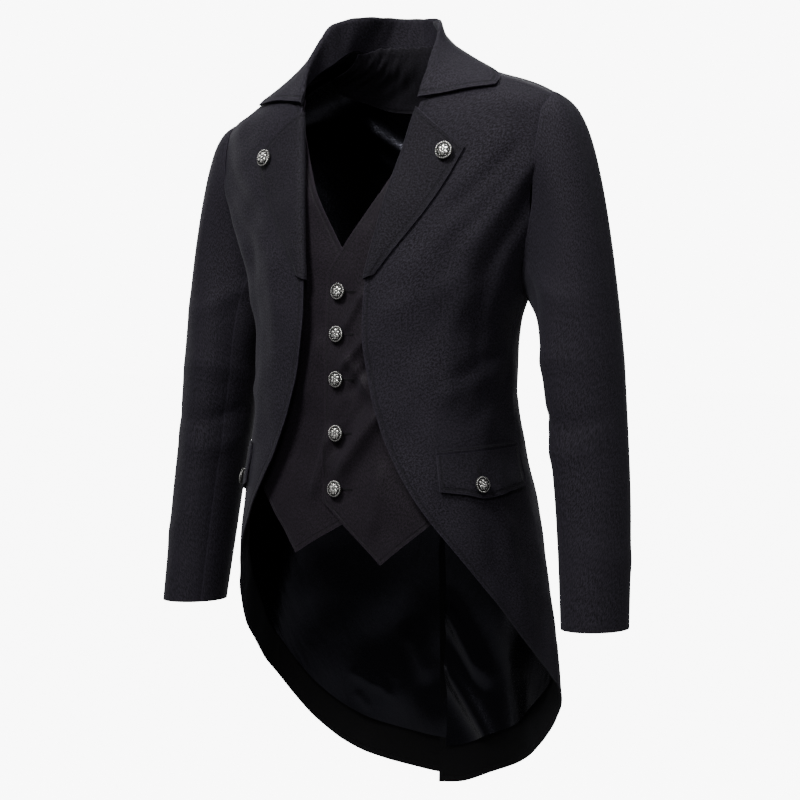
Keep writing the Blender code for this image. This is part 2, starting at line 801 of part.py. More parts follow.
def arm_ring(height, k, shift):
    """Point of the sleeve's level section; k counts from the inside to the front."""
    cx, cy, half_width, half_depth = smooth(SLEEVE[::-1], height)
    turn = 2.0 * math.pi * (k + shift) / SLEEVE_ROUND
    return np.array([cx - half_width * math.cos(turn), cy - half_depth * math.sin(turn), height])


def sleeve_line(places, k, shift):
    """Points of the sleeve from the armhole to the cuff."""
    start = cap_start(places, k)
    end = arm_ring(SLEEVE[0][0], k, shift)
    up = ease(UNDERARM[1], SHOULDER_TIP[1], places[k][1])
    length = np.linalg.norm(end - start)
    leave = mix(np.array([0.55, 0.0, -0.85]), np.array([0.42, 0.0, 0.02]), up) * length
    arrive = np.array([0.1, 0.0, -1.0]) * length
    points = [hermite(start, leave, end, arrive, t) for t in CAP_STEPS]
    for row in range(1, ARM_ROWS + 1):
        points.append(arm_ring(mix(SLEEVE[0][0], SLEEVE[-1][0], row / ARM_ROWS), k, shift))
    return points


def build_sleeve(side_name, side):
    places = armhole_ring()
    count = SLEEVE_ROUND
    lines = {}
    for k in range(count):
        lines[k] = sleeve_line(places, k, 0.0)
    whole = np.array([lines[k % count] for k in range(count)])
    along = np.gradient(whole, axis=1)
    around = np.roll(whole, -1, axis=0) - np.roll(whole, 1, axis=0)
    normals = np.cross(along, around)
    normals /= np.linalg.norm(normals, axis=2, keepdims=True)
    if normals[count // 2, -1, 0] < 0:
        normals = -normals
    parts = (("under", [k % count for k in range(HIND_SEAM, count + FORE_SEAM + 1)]),
             ("top", list(range(FORE_SEAM, HIND_SEAM + 1))))
    for part, columns in parts:
        strip = whole[columns].copy()
        strip_normals = normals[columns]
        toward = (strip[1] - strip[0], strip[-2] - strip[-1])
        for end, direction in ((0, toward[0]), (-1, toward[1])):
            unit = direction / np.linalg.norm(direction, axis=1, keepdims=True)
            strip[end] = strip[end] + unit * SEAM_GAP / 2
        cloth("sleeve_%s_%s" % (side_name, part), strip, strip - strip_normals * COAT_WALL,
              side, "coat_cloth")


# ==================================================================== buttons
def build_button(name, seat, out, radius):
    """Domed shank button standing on the point seat, facing the way out."""
    edit = bmesh.new()
    rings = []
    for part, rise in BUTTON_PROFILE:
        ring = []
        for k in range(BUTTON_SIDES):
            turn = 2.0 * math.pi * k / BUTTON_SIDES
            ring.append(edit.verts.new((radius * part * math.cos(turn), radius * part * math.sin(turn),
                                        radius * rise)))
        rings.append(ring)
    for low, high in zip(rings, rings[1:]):
        for k in range(BUTTON_SIDES):
            m = (k + 1) % BUTTON_SIDES
            edit.faces.new((low[k], low[m], high[m], high[k]))
    edit.faces.new(rings[0][::-1])
    crown = edit.verts.new((0.0, 0.0, radius * BUTTON_TOP))
    for k in range(BUTTON_SIDES):
        edit.faces.new((rings[-1][k], rings[-1][(k + 1) % BUTTON_SIDES], crown))
    turned = Vector(out).to_track_quat("Z", "Y").to_matrix().to_4x4()
    bmesh.ops.transform(edit, matrix=Matrix.Translation(Vector(seat)) @ turned, verts=edit.verts)
    return finish_object(name, edit, "silver")


def seat_on(angle, height, out, side):
    """Seat and facing of a button on a layer's outer face."""
    facing = outward(angle, height) * np.array([side, 1, 1])
    seat = settle(on_form(angle, height, out + SEAM_GAP) * np.array([side, 1, 1]))
    return seat, facing


def build_buttons():
    for name, height in VEST_BUTTONS:
        depth = smooth(VEST_DEPTH, height)[0]
        seat, facing = seat_on(0.0, height, VEST_OUT - depth, 1)
        build_button(name, seat, facing, BUTTON_RADIUS)
    for side_name, side in SIDES:
        x, height = LAPEL_BUTTON
        seat, facing = seat_on(angle_at(x, height), height, LAPEL_FACE[2][1] + LAPEL_WALL / 2, side)
        build_button("lapel_button_" + side_name, seat, facing, LAPEL_BUTTON_RADIUS)
        angle, height = FLAP_BUTTON
        seat, facing = seat_on(angle, height, LAYER_GAP + FLAP_WALL + 0.0016, side)
        build_button("flap_button_" + side_name, seat, facing, BUTTON_RADIUS)


# ==================================================================== the coat
SIDES = (("left", 1), ("right", -1))

for old in list(bpy.data.objects):
    bpy.data.objects.remove(old, do_unlink=True)

for side_name, side in SIDES:
    build_front(side_name, side)
    build_back(side_name, side)
    build_lining(side_name, side)
    build_lapel(side_name, side)
    build_vest(side_name, side)
    build_pocket(side_name, side)
    build_sleeve(side_name, side)
build_neck_facing()
build_collar()
build_buttons()
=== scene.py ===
import math

import bpy
import numpy as np
from mathutils import Matrix, Vector


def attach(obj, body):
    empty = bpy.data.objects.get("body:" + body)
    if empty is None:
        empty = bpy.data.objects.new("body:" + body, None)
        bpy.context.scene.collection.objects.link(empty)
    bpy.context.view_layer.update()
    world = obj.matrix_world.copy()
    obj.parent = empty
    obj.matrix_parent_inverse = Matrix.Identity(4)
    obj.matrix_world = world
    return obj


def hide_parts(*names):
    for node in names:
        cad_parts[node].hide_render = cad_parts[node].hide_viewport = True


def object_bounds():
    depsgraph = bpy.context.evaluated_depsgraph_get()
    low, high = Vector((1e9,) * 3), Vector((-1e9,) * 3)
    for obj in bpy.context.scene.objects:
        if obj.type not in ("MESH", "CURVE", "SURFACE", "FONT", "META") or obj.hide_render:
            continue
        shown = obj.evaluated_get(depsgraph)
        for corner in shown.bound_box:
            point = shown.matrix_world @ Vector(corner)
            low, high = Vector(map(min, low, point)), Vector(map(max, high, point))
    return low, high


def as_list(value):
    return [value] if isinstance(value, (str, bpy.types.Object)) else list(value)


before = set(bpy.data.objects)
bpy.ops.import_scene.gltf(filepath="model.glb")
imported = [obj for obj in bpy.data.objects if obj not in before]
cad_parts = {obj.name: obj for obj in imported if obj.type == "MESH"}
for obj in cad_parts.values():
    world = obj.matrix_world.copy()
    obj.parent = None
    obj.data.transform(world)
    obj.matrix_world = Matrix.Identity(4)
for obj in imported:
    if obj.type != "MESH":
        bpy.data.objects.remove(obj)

cad_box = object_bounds()
bpy.ops.object.select_all(action="DESELECT")


# ------------------------------------------------------------------ back panels
# Two backs of black suiting, cut to follow the spine and the waist, sewn down the
# centre and open below as a vent, the left one lapping inside.  The cloth is laid
# on the worn form, a stack of level sections of the empty coat.
# Walls of the coat and its lining, then the gaps: lining to coat, at a seam, and
# between layers that lie on each other
COAT_WALL = 0.0020
LINING_WALL = 0.0010
LINING_CLEAR = 0.0020
SEAM_GAP = 0.0004
LAYER_GAP = 0.0009
# Worn form, the outer face of the coat: height, half width, front y, widest y,
# back y, squareness of the corners
SECTIONS = (
    (-0.900, 0.210, -0.135, 0.000, 0.114, 2.2),
    (-0.750, 0.202, -0.140, -0.005, 0.116, 2.2),
    (-0.650, 0.194, -0.144, -0.010, 0.114, 2.2),
    (-0.580, 0.183, -0.147, -0.012, 0.110, 2.5),
    (-0.510, 0.171, -0.146, -0.015, 0.100, 2.7),
    (-0.450, 0.161, -0.142, -0.018, 0.088, 2.6),
    (-0.390, 0.156, -0.139, -0.020, 0.080, 2.5),
    (-0.330, 0.158, -0.137, -0.020, 0.080, 2.4),
    (-0.270, 0.178, -0.132, -0.018, 0.088, 2.3),
    (-0.180, 0.215, -0.115, -0.016, 0.096, 2.1),
    (-0.113, 0.230, -0.094, -0.018, 0.092, 2.2),
    (-0.080, 0.2265, -0.086, -0.018, 0.086, 2.1),
    (-0.066, 0.216, -0.082, -0.017, 0.084, 2.05),
    (-0.057, 0.200, -0.078, -0.014, 0.081, 2.0),
    (-0.048, 0.180, -0.074, -0.012, 0.078, 2.0),
    (-0.028, 0.126, -0.062, -0.006, 0.068, 2.0),
    (-0.010, 0.082, -0.050, -0.002, 0.056, 2.0),
    (0.004, 0.065, -0.044, -0.001, 0.051, 2.0),
    (0.060, 0.044, -0.030, 0.000, 0.043, 2.0),
)
# Soft upright folds that the skirt hangs in, from nothing at the waist: angle of
# the crest, half width in degrees, rise
SKIRT_FOLDS = (
    (72.0, 15.0, 0.004),
    (104.0, 14.0, 0.006),
    (134.0, 12.0, -0.005),
    (160.0, 11.0, 0.006),
)
# Heights where those folds start and are full, and the radius they are shares of
FOLD_START = -0.46
FOLD_FULL = -0.74
FOLD_RADIUS = 0.15
# How far the left shoulder and sleeve sit high, and the right ones low
LEFT_LIFT = 0.007
RIGHT_DROP = -0.013
# Corners of the pattern, as angle and height
SHOULDER_TIP = (90.0, -0.065)
NECK_SIDE = (90.0, 0.003)
NECK_BACK = (180.0, 0.002)
UNDERARM = (98.0, -0.282)
SIDE_SEAM_HEM = 108.0
# The vent: heights where it starts and is full, its lap in degrees, then the
# angles between which the left tail is tucked in, and how far above the vent
VENT_TOP = -0.52
VENT_FULL = -0.60
VENT_LAP = 3.5
TUCK_START = 146.0
TUCK_FULL = 172.0
TUCK_RISE = 0.07
# Hem of the tails: angle, height of the left one and of the right one
TAIL_HEM = (
    (90.0, -0.698, -0.698),
    (97.0, -0.714, -0.715),
    (108.0, -0.738, -0.742),
    (116.0, -0.757, -0.768),
    (126.0, -0.783, -0.800),
    (138.0, -0.809, -0.829),
    (150.0, -0.831, -0.847),
    (163.0, -0.850, -0.857),
    (176.0, -0.868, -0.861),
    (190.0, -0.873, -0.863),
)
# Armhole from the underarm up to the shoulder tip: fraction, angle, height
ARMHOLE_BACK = (
    (0.00, 98.0, -0.282),
    (0.10, 107.0, -0.268),
    (0.30, 115.0, -0.222),
    (0.55, 118.0, -0.160),
    (0.76, 116.0, -0.112),
    (0.90, 105.0, -0.079),
    (1.00, 90.0, -0.065),
)
SIDES = (("left", 1), ("right", -1))
# Share of the panel's rows below the underarm, and of its width at the shoulder
UNDERARM_V = 14 / 24
SHOULDER_U = 0.55
# Half gaps in degrees: centre back seam, shoulder seam, side seam
SEAM_ANGLE = 0.14
RIDGE_ANGLE = 0.30
SEAM_CLOSED = 0.002
# Metres of cloth to a degree across the back
BACK_DEGREE = 0.0028
# Height of the centre back seam where the rows pass the underarm
CENTRE_WAIST = -0.290
BACK_CUT = (0.30, 0.90)
BACK_AREA = 0.182


def mix(a, b, t):
    """a where t is 0, b where t is 1, and evenly between."""
    return a + (b - a) * t


def ease(low, high, value):
    """0 below low, 1 above high and a smooth step between."""
    t = np.clip((value - low) / (high - low), 0.0, 1.0)
    return t * t * (3 - 2 * t)


def fractions(*spans):
    """Fractions from 0 to 1 as (end, count) spans, each cut evenly."""
    cuts, start = [0.0], 0.0
    for end, count in spans:
        cuts += [mix(start, end, (k + 1) / count) for k in range(count)]
        start = end
    return cuts


def hermite(start, leave, end, arrive, t):
    """Cubic from start to end with the given end tangents."""
    return ((2 * t ** 3 - 3 * t ** 2 + 1) * start + (t ** 3 - 2 * t ** 2 + t) * leave
            + (3 * t ** 2 - 2 * t ** 3) * end + (t ** 3 - t ** 2) * arrive)


def smooth(table, at):
    """Columns of a table at values of its first column, with no overshoot."""
    rows = np.array(table, dtype=float)
    knots, values = rows[:, 0], rows[:, 1:]
    at = np.clip(np.asarray(at, dtype=float), knots[0], knots[-1])
    steps = np.diff(knots)
    slopes = np.diff(values, axis=0) / steps[:, None]
    tangents = np.zeros_like(values)
    tangents[0], tangents[-1] = slopes[0], slopes[-1]
    before, after = slopes[:-1], slopes[1:]
    same_way = before * after > 0
    first = (2 * steps[1:] + steps[:-1])[:, None]
    second = (steps[1:] + 2 * steps[:-1])[:, None]
    mean = (first + second) / (first / np.where(same_way, before, 1.0)
                               + second / np.where(same_way, after, 1.0))
    tangents[1:-1] = np.where(same_way, mean, 0.0)
    i = np.clip(np.searchsorted(knots, at, side="right") - 1, 0, len(knots) - 2)
    step = steps[i][..., None]
    t = ((at - knots[i]) / steps[i])[..., None]
    return hermite(values[i], tangents[i] * step, values[i + 1], tangents[i + 1] * step, t)


def drape(angle, height):
    """How far the skirt's folds push the form out."""
    grow = ease(-FOLD_START, -FOLD_FULL, -height)
    turn = np.abs((angle + 180.0) % 360.0 - 180.0)
    return grow * sum(rise * np.exp(-((turn - crest) / half) ** 2)
                      for crest, half, rise in SKIRT_FOLDS)


def form(angle, height):
    """Points of the worn form: angle round the body in degrees, and height."""
    angle, height = np.broadcast_arrays(np.asarray(angle, float), np.asarray(height, float))
    width, front, widest, back, squareness = np.moveaxis(smooth(SECTIONS, height), -1, 0)
    s, c = np.sin(np.radians(angle)), np.cos(np.radians(angle))
    reach = (np.abs(s) ** squareness + np.abs(c) ** squareness) ** (-1.0 / squareness)
    depth = np.where(c > 0, widest - front, back - widest)
    radius = reach * (1.0 + drape(angle, height) / FOLD_RADIUS)
    return np.stack([width * radius * s, widest - depth * radius * c, height], axis=-1)


def outward(angle, height):
    """Unit normals of the worn form."""
    step, rise = 0.6, 0.0015
    normal = np.cross(form(angle + step, height) - form(angle - step, height),
                      form(angle, height + rise) - form(angle, height - rise))
    return normal / np.linalg.norm(normal, axis=-1, keepdims=True)


def on_form(angle, height, out=0.0):
    """Points at a distance out of the coat's outer face."""
    return form(angle, height) + outward(angle, height) * np.asarray(out)[..., None]


def wall_on_form(angle, height, out, wall):
    """Outer and inner face of a wall laid on the worn form."""
    return on_form(angle, height, out), on_form(angle, height, out - wall)


def settle(points):
    """Carry the left shoulder and sleeve a little high and the right ones low."""
    x, z = points[..., 0], points[..., 2]
    share = ease(0.10, 0.22, np.abs(x)) * mix(0.45, 1.0, ease(-0.65, -0.10, z))
    lift = np.where(x > 0, LEFT_LIFT, RIGHT_DROP)
    return points + np.stack([0 * x, 0 * x, lift * share], axis=-1)


def ridge(across, half, rise):
    """A soft rounded fold, half its width wide on each side."""
    return rise * np.exp(-(across / half) ** 2)


def crease(across, height, start, end, half, rise):
    """A soft crease along a line between two places, dying out at both ends."""
    run = np.array(end) - np.array(start)
    length = np.hypot(*run)
    run = run / length
    along = ((across - start[0]) * run[0] + (height - start[1]) * run[1]) / length
    off = (across - start[0]) * run[1] - (height - start[1]) * run[0]
    return rise * np.exp(-(off / half) ** 2) * ease(-0.25, 0.2, along) * ease(1.25, 0.8, along)


def creases(across, height, lines):
    """All the creases of a list: start, end, half width, rise."""
    return sum(crease(across, height, *line) for line in lines)


# Waves that add up to a rumple: share, then turns across, turns up and start
RUMPLE_WAVES = (
    (0.50, 47.0, 31.0, 1.3),
    (0.50, -38.0, 62.0, 4.0),
    (0.35, 103.0, -41.0, 2.2),
    (0.30, 71.0, 118.0, 0.0),
    (0.25, -164.0, 87.0, 0.6),
)


def rumple(across, height, rise):
    """The slight unevenness of cloth that has been worn and hung."""
    return rise * sum(share * np.sin(wide * across + high * height + start)
                      for share, wide, high, start in RUMPLE_WAVES)


def patch(bottom, top, left, right, columns, rows, top_pull=1.0):
    """Angles and heights of a grid inside four border curves."""
    u = np.array(columns)[None, :, None]
    v = np.array(rows)[:, None, None]
    low = np.array([bottom(k) for k in columns])[None]
    high = np.array([top(k) for k in columns])[None]
    one = np.array([left(k) for k in rows])[:, None]
    other = np.array([right(k) for k in rows])[:, None]
    low_bend = low - mix(low[:, :1], low[:, -1:], u)
    high_bend = high - mix(high[:, :1], high[:, -1:], u)
    grid = mix(one, other, u) + (1.0 - v) * low_bend + v ** top_pull * high_bend
    return grid[..., 0], grid[..., 1]


def sew_wall(node, outer, inner, side, finish, cut, area, held, rests_on, stitched="", wrong_side=0.0):
    """Cloth of real thickness between two grids of points, drawn for the left.

    The sewn attribute holds how far a point lies from the nearest edge named in
    stitched (l, r, b or t for the grid's sides) and how far along that edge; a
    second attribute marks the wrong side of the cloth, which the suiting darkens
    to near black as painted shade of the coat's inside.
    """
    flip = np.array([side, 1, 1])
    outer, inner = settle(np.asarray(outer) * flip), settle(np.asarray(inner) * flip)
    rows, columns = outer.shape[:2]
    across = np.zeros((rows, columns))
    across[:, 1:] = np.cumsum(np.linalg.norm(np.diff(outer, axis=1), axis=2), axis=1)
    up = np.zeros((rows, columns))
    up[1:] = np.cumsum(np.linalg.norm(np.diff(outer, axis=0), axis=2), axis=0)
    edges = {"l": (across, up), "r": (across[:, -1:] - across, up),
             "b": (up, across), "t": (up[-1:] - up, across)}
    sewn = np.full((rows, columns, 3), 1.0)
    for name in stitched:
        away, along = edges[name]
        nearer = away < sewn[..., 0]
        sewn[..., 0] = np.where(nearer, away, sewn[..., 0])
        sewn[..., 1] = np.where(nearer, along, sewn[..., 1])
    sewn[..., 2] = np.minimum.reduce([away for away, _ in edges.values()])

    size = rows * columns
    index = np.arange(size).reshape(rows, columns)
    cells = np.stack([index[:-1, :-1], index[:-1, 1:], index[1:, 1:], index[1:, :-1]], -1).reshape(-1, 4)
    border = np.concatenate([index[0], index[1:, -1], index[-1, -2::-1], index[-2:0:-1, 0]])
    after = np.roll(border, -1)
    rim = np.stack([border, border + size, after + size, after], -1)
    faces = np.concatenate([cells, cells[:, ::-1] + size, rim])
    points = np.concatenate([outer.reshape(-1, 3), inner.reshape(-1, 3)])
    fans = points[faces]
    volume = sum((fans[:, 0] * np.cross(fans[:, k], fans[:, k + 1])).sum() for k in (1, 2))
    if volume < 0:
        faces = faces[:, ::-1]
    mesh = bpy.data.meshes.new(node + "_cloth")
    mesh.from_pydata(points.tolist(), [], faces.tolist())
    flat_map = np.tile(np.stack([across, up], -1).reshape(-1, 2), (2, 1))
    corners = np.array([loop.vertex_index for loop in mesh.loops])
    mesh.uv_layers.new(name="UVMap").data.foreach_set("uv", flat_map[corners].ravel())
    marks = mesh.attributes.new("sewn", "FLOAT_VECTOR", "POINT")
    marks.data.foreach_set("vector", np.tile(sewn.reshape(-1, 3), (2, 1)).ravel())
    turned = mesh.attributes.new("wrong_side_shade", "FLOAT", "POINT")
    turned.data.foreach_set("value", np.repeat([0.0, wrong_side], size))
    mesh.shade_smooth()
    mesh.set_sharp_from_angle(angle=math.radians(55))
    mesh.materials.append(finish)
    piece = bpy.data.objects.new(node + "_cloth", mesh)
    bpy.context.scene.collection.objects.link(piece)
    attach(piece, "root")
    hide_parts(node)
    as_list(rests_on)
    return piece


def new_group(name, inputs, outputs):
    """A shader group with float or vector inputs and the given outputs."""
    tree = bpy.data.node_groups.new(name, "ShaderNodeTree")
    for label, kind, value in inputs:
        made = tree.interface.new_socket(label, in_out="INPUT", socket_type=kind)
        if value is not None:
            made.default_value = value
    for label, kind in outputs:
        tree.interface.new_socket(label, in_out="OUTPUT", socket_type=kind)
    return tree, tree.nodes.new("NodeGroupInput"), tree.nodes.new("NodeGroupOutput")


def maths(tree, operation, first, second=None, third=None):
    """A Math node on sockets or plain numbers; gives its output socket."""
    node = tree.nodes.new("ShaderNodeMath")
    node.operation = operation
    for slot, value in zip(node.inputs, (first, second, third)):
        if value is None:
            continue
        if isinstance(value, (int, float)):
            slot.default_value = value
        else:
            tree.links.new(value, slot)
    return node.outputs[0]


def fade(tree, value, low, high, start=0.0, end=1.0):
    """Map Range with a smooth step."""
    node = tree.nodes.new("ShaderNodeMapRange")
    node.interpolation_type = "SMOOTHSTEP"
    for label, number in (("From Min", low), ("From Max", high), ("To Min", start), ("To Max", end)):
        node.inputs[label].default_value = number
    tree.links.new(value, node.inputs["Value"])
    return node.outputs["Result"]


def grain(tree, vector, scale, detail=2.0, rough=0.5, stretch=None):
    """Noise of so many grains a metre."""
    if stretch:
        node = tree.nodes.new("ShaderNodeMapping")
        node.inputs["Scale"].default_value = stretch
        tree.links.new(vector, node.inputs["Vector"])
        vector = node.outputs[0]
    node = tree.nodes.new("ShaderNodeTexNoise")
    node.inputs["Scale"].default_value = scale
    node.inputs["Detail"].default_value = detail
    node.inputs["Roughness"].default_value = rough
    tree.links.new(vector, node.inputs["Vector"])
    return node.outputs["Fac"]


# Twill: slanting ribs crossed by single threads, on the cloth's own flat map.
twill, given, result = new_group("twill",
                                 (("Flat", "NodeSocketVector", None), ("Ribs", "NodeSocketFloat", 900.0)),
                                 (("Thread", "NodeSocketFloat"),))
apart = twill.nodes.new("ShaderNodeSeparateXYZ")
twill.links.new(given.outputs["Flat"], apart.inputs[0])
slant = maths(twill, "ADD", apart.outputs[0], apart.outputs[1])
rib_turn = maths(twill, "MULTIPLY", given.outputs["Ribs"], 6.283)
rib = maths(twill, "SINE", maths(twill, "MULTIPLY", slant, rib_turn))
pick_turn = maths(twill, "MULTIPLY", given.outputs["Ribs"], 12.566)
pick = maths(twill, "SINE", maths(twill, "MULTIPLY", apart.outputs[0], pick_turn))
woven = maths(twill, "MULTIPLY_ADD", maths(twill, "MULTIPLY_ADD", pick, 0.3, rib), 0.38, 0.5)
twill.links.new(woven, result.inputs["Thread"])

# Heather: pale and dark fibres twisted in one yarn, short streaks both ways.
heather, given, result = new_group("heather",
                                   (("Place", "NodeSocketVector", None), ("Flat", "NodeSocketVector", None)),
                                   (("Fibre", "NodeSocketFloat"), ("Cloud", "NodeSocketFloat")))
warp = grain(heather, given.outputs["Flat"], 1300.0, 2.0, 0.6, (1.0, 0.6, 1.0))
weft = grain(heather, given.outputs["Flat"], 1300.0, 2.0, 0.6, (0.6, 1.0, 1.0))
slub = grain(heather, given.outputs["Flat"], 420.0, 3.0, 0.75)
fibre = maths(heather, "MULTIPLY_ADD", maths(heather, "ADD", warp, weft), 0.22,
              maths(heather, "MULTIPLY", slub, 0.56))
heather.links.new(fade(heather, fibre, 0.41, 0.61), result.inputs["Fibre"])
cloud = grain(heather, given.outputs["Place"], 11.0, 4.0, 0.55)
heather.links.new(fade(heather, cloud, 0.3, 0.7), result.inputs["Cloud"])

# Topstitch: a row of thread dashes sunk in the cloth, a set way from the edge, with marks for painted shade
# beside the row and a painted highlight along every edge.
topstitch, given, result = new_group("topstitch", (("Sewn", "NodeSocketVector", None),
                                                   ("Inset", "NodeSocketFloat", 0.006),
                                                   ("Stitch", "NodeSocketFloat", 0.0026)),
                                     (("Thread", "NodeSocketFloat"), ("Sink And Painted Shade", "NodeSocketFloat"),
                                      ("Painted Edge Highlight", "NodeSocketFloat")))
apart = topstitch.nodes.new("ShaderNodeSeparateXYZ")
topstitch.links.new(given.outputs["Sewn"], apart.inputs[0])
off = maths(topstitch, "ABSOLUTE", maths(topstitch, "SUBTRACT", apart.outputs[0], given.outputs["Inset"]))
dash = maths(topstitch, "FRACT", maths(topstitch, "DIVIDE", apart.outputs[1], given.outputs["Stitch"]))
dashed = maths(topstitch, "MULTIPLY", fade(topstitch, dash, 0.05, 0.2),
               fade(topstitch, dash, 0.78, 0.93, 1.0, 0.0))
on_row = fade(topstitch, off, 0.00035, 0.0007, 1.0, 0.0)
topstitch.links.new(maths(topstitch, "MULTIPLY", on_row, dashed), result.inputs["Thread"])
# The groove beside the row: it sinks the cloth, and the suiting paints it darker as painted shade.
topstitch.links.new(fade(topstitch, off, 0.0004, 0.0022, 1.0, 0.0), result.inputs["Sink And Painted Shade"])
# The third output marks the last 1.6 mm at each edge, where the suiting adds a painted highlight.
topstitch.links.new(fade(topstitch, apart.outputs[2], 0.0, 0.0016, 1.0, 0.0), result.inputs["Painted Edge Highlight"])


def place_group(tree, group, **sources):
    """A group placed in a material, fed by sockets or plain numbers."""
    node = tree.nodes.new("ShaderNodeGroup")
    node.node_tree = group
    for label, source in sources.items():
        if isinstance(source, (int, float)):
            node.inputs[label].default_value = source
        else:
            tree.links.new(source, node.inputs[label])
    return node.outputs


def colour_mix(tree, factor, first, second):
    """Mix of two colours, each a socket or three plain numbers."""
    node = tree.nodes.new("ShaderNodeMix")
    node.data_type = "RGBA"
    tree.links.new(factor, node.inputs["Factor"])
    for slot, value in ((node.inputs[6], first), (node.inputs[7], second)):
        if isinstance(value, tuple):
            slot.default_value = (*value, 1.0)
        else:
            tree.links.new(value, slot)
    return node.outputs[2]


def new_finish(name):
    """A new material, with its node tree and its shader."""
    made = bpy.data.materials.new(name)
    made.use_nodes = True
    return made, made.node_tree, made.node_tree.nodes["Principled BSDF"]


def cloth_maps(tree):
    """Where a finish reads its patterns: the object's own place and the flat cloth."""
    flat = tree.nodes.new("ShaderNodeUVMap")
    flat.uv_map = "UVMap"
    return tree.nodes.new("ShaderNodeTexCoord").outputs["Object"], flat.outputs[0]


def attribute(tree, name):
    """Outputs of one of the mesh's own attributes."""
    node = tree.nodes.new("ShaderNodeAttribute")
    node.attribute_name = name
    return node.outputs


def emboss(tree, height, strength):
    """Raise the finish by a height in metres."""
    bump = tree.nodes.new("ShaderNodeBump")
    bump.inputs["Strength"].default_value = strength
    bump.inputs["Distance"].default_value = 1.0
    tree.links.new(height, bump.inputs["Height"])
    tree.links.new(bump.outputs[0], tree.nodes["Principled BSDF"].inputs["Normal"])


def shade(colour, share):
    """A colour made darker or paler."""
    return tuple(share * part for part in colour)


def suiting(name, dark, pale, thread, inset=0.006, soft=0.82, gloss=0.16):
    """Matt heathered suiting with its topstitching, painted shade beside the stitching and a painted
    highlight along its pressed edges.
    """
    made, tree, shader = new_finish(name)
    place, flat = cloth_maps(tree)
    weave = place_group(tree, twill, Flat=flat)
    yarn = place_group(tree, heather, Place=place, Flat=flat)
    stitch = place_group(tree, topstitch, Sewn=attribute(tree, "sewn")["Vector"], Inset=inset)
    cloth = colour_mix(tree, yarn["Fibre"], dark, pale)
    middling = tuple(mix(a, b, 0.65) for a, b in zip(dark, pale))
    cloth = colour_mix(tree, maths(tree, "MULTIPLY", yarn["Cloud"], 0.30), cloth, middling)
    # Beside the topstitching the cloth is painted darker: painted shade in the stitched groove.
    cloth = colour_mix(tree, maths(tree, "MULTIPLY", stitch["Sink And Painted Shade"], 0.35), cloth, shade(dark, 0.35))
    cloth = colour_mix(tree, maths(tree, "MULTIPLY", stitch["Thread"], 0.8), cloth, thread)
    # Every cut edge is painted paler: a painted highlight on the rolled edge.
    cloth = colour_mix(tree, maths(tree, "MULTIPLY", stitch["Painted Edge Highlight"], 0.5), cloth, shade(pale, 1.25))
    # The wrong side, inside the coat and on the turned-up hem, is painted near black: painted shade.
    cloth = colour_mix(tree, attribute(tree, "wrong_side_shade")["Fac"], cloth, shade(dark, 0.45))
    tree.links.new(cloth, shader.inputs["Base Color"])
    tree.links.new(maths(tree, "MULTIPLY_ADD", yarn["Fibre"], -0.10, soft), shader.inputs["Roughness"])
    height = maths(tree, "MULTIPLY", yarn["Fibre"], 0.00007)
    height = maths(tree, "MULTIPLY_ADD", weave["Thread"], 0.00005, height)
    height = maths(tree, "MULTIPLY_ADD", stitch["Sink And Painted Shade"], -0.00050, height)
    height = maths(tree, "MULTIPLY_ADD", stitch["Thread"], 0.00035, height)
    emboss(tree, height, 0.7)
    shader.inputs["Specular IOR Level"].default_value = gloss
    shader.inputs["Sheen Weight"].default_value = 0.035
    shader.inputs["Sheen Roughness"].default_value = 0.45
    shader.inputs["Sheen Tint"].default_value = (0.72, 0.74, 0.86, 1.0)
    return made


# Shades of the coat's suiting: its dark fibres, its pale ones, the topstitching
COAT_SHADES = ((0.0018, 0.0015, 0.0026), (0.0205, 0.0174, 0.0262), (0.0085, 0.0078, 0.0108))
coat_cloth = suiting("coat_suiting", *COAT_SHADES)


def hem(angle, side):
    """Height of the tails' hem."""
    left, right = smooth(TAIL_HEM, angle)
    return left if side > 0 else right


def side_line(v, armhole, shift, side):
    """Side seam and then the armhole, as a fraction up the panel."""
    if v <= UNDERARM_V:
        t = v / UNDERARM_V
        angle = mix(SIDE_SEAM_HEM, UNDERARM[0], t)
        return np.array([angle + shift, mix(hem(SIDE_SEAM_HEM, side), UNDERARM[1], t)])
    t = (v - UNDERARM_V) / (1.0 - UNDERARM_V)
    angle, height = smooth(armhole, t)
    return np.array([angle + mix(shift, math.copysign(RIDGE_ANGLE, shift), t), height])


def tuck(angle, height, side):
    """The left tail laps inside the right one below the vent's top."""
    depth = COAT_WALL + LINING_WALL + 2 * LINING_CLEAR if side > 0 else 0.0
    return -depth * ease(TUCK_START, TUCK_FULL, angle) * ease(-VENT_TOP - TUCK_RISE, -VENT_TOP, -height)


def centre_back(v, side, low):
    """Centre back seam, widened below the vent's top on the left tail."""
    t = v / UNDERARM_V
    if t < 1.0:
        height = mix(low, CENTRE_WAIST, t)
    else:
        height = mix(CENTRE_WAIST, NECK_BACK[1], (v - UNDERARM_V) / (1 - UNDERARM_V))
    lap = VENT_LAP * float(ease(-VENT_TOP, -VENT_FULL, -height)) if side > 0 else 0.0
    return np.array([180.0 - SEAM_ANGLE + lap, height])


def seam_pucker(away, along, depth=0.0007, pitch=0.019):
    """Cloth sinks to a seam and ripples softly beside it."""
    sink = -depth * np.exp(-(away / 0.004) ** 2)
    return sink + 0.35 * depth * np.exp(-(away / 0.012) ** 2) * np.sin(along * 2 * math.pi / pitch)


def back_folds(angle, height):
    """A soft upright fold in the tail and two level creases at the waist."""
    upright = ridge(angle - mix(128.0, 150.0, (height + 0.9) / 0.5), 7.0, 0.0016) * ease(0.40, 0.55, -height)
    upper = ridge(height + 0.352 + 0.0009 * (angle - 150), 0.012, 0.0014) * ease(180.0, 130.0, angle)
    lower = ridge(height + 0.388 - 0.0007 * (angle - 120), 0.010, -0.0012) * ease(175.0, 120.0, angle)
    return upright + upper + lower


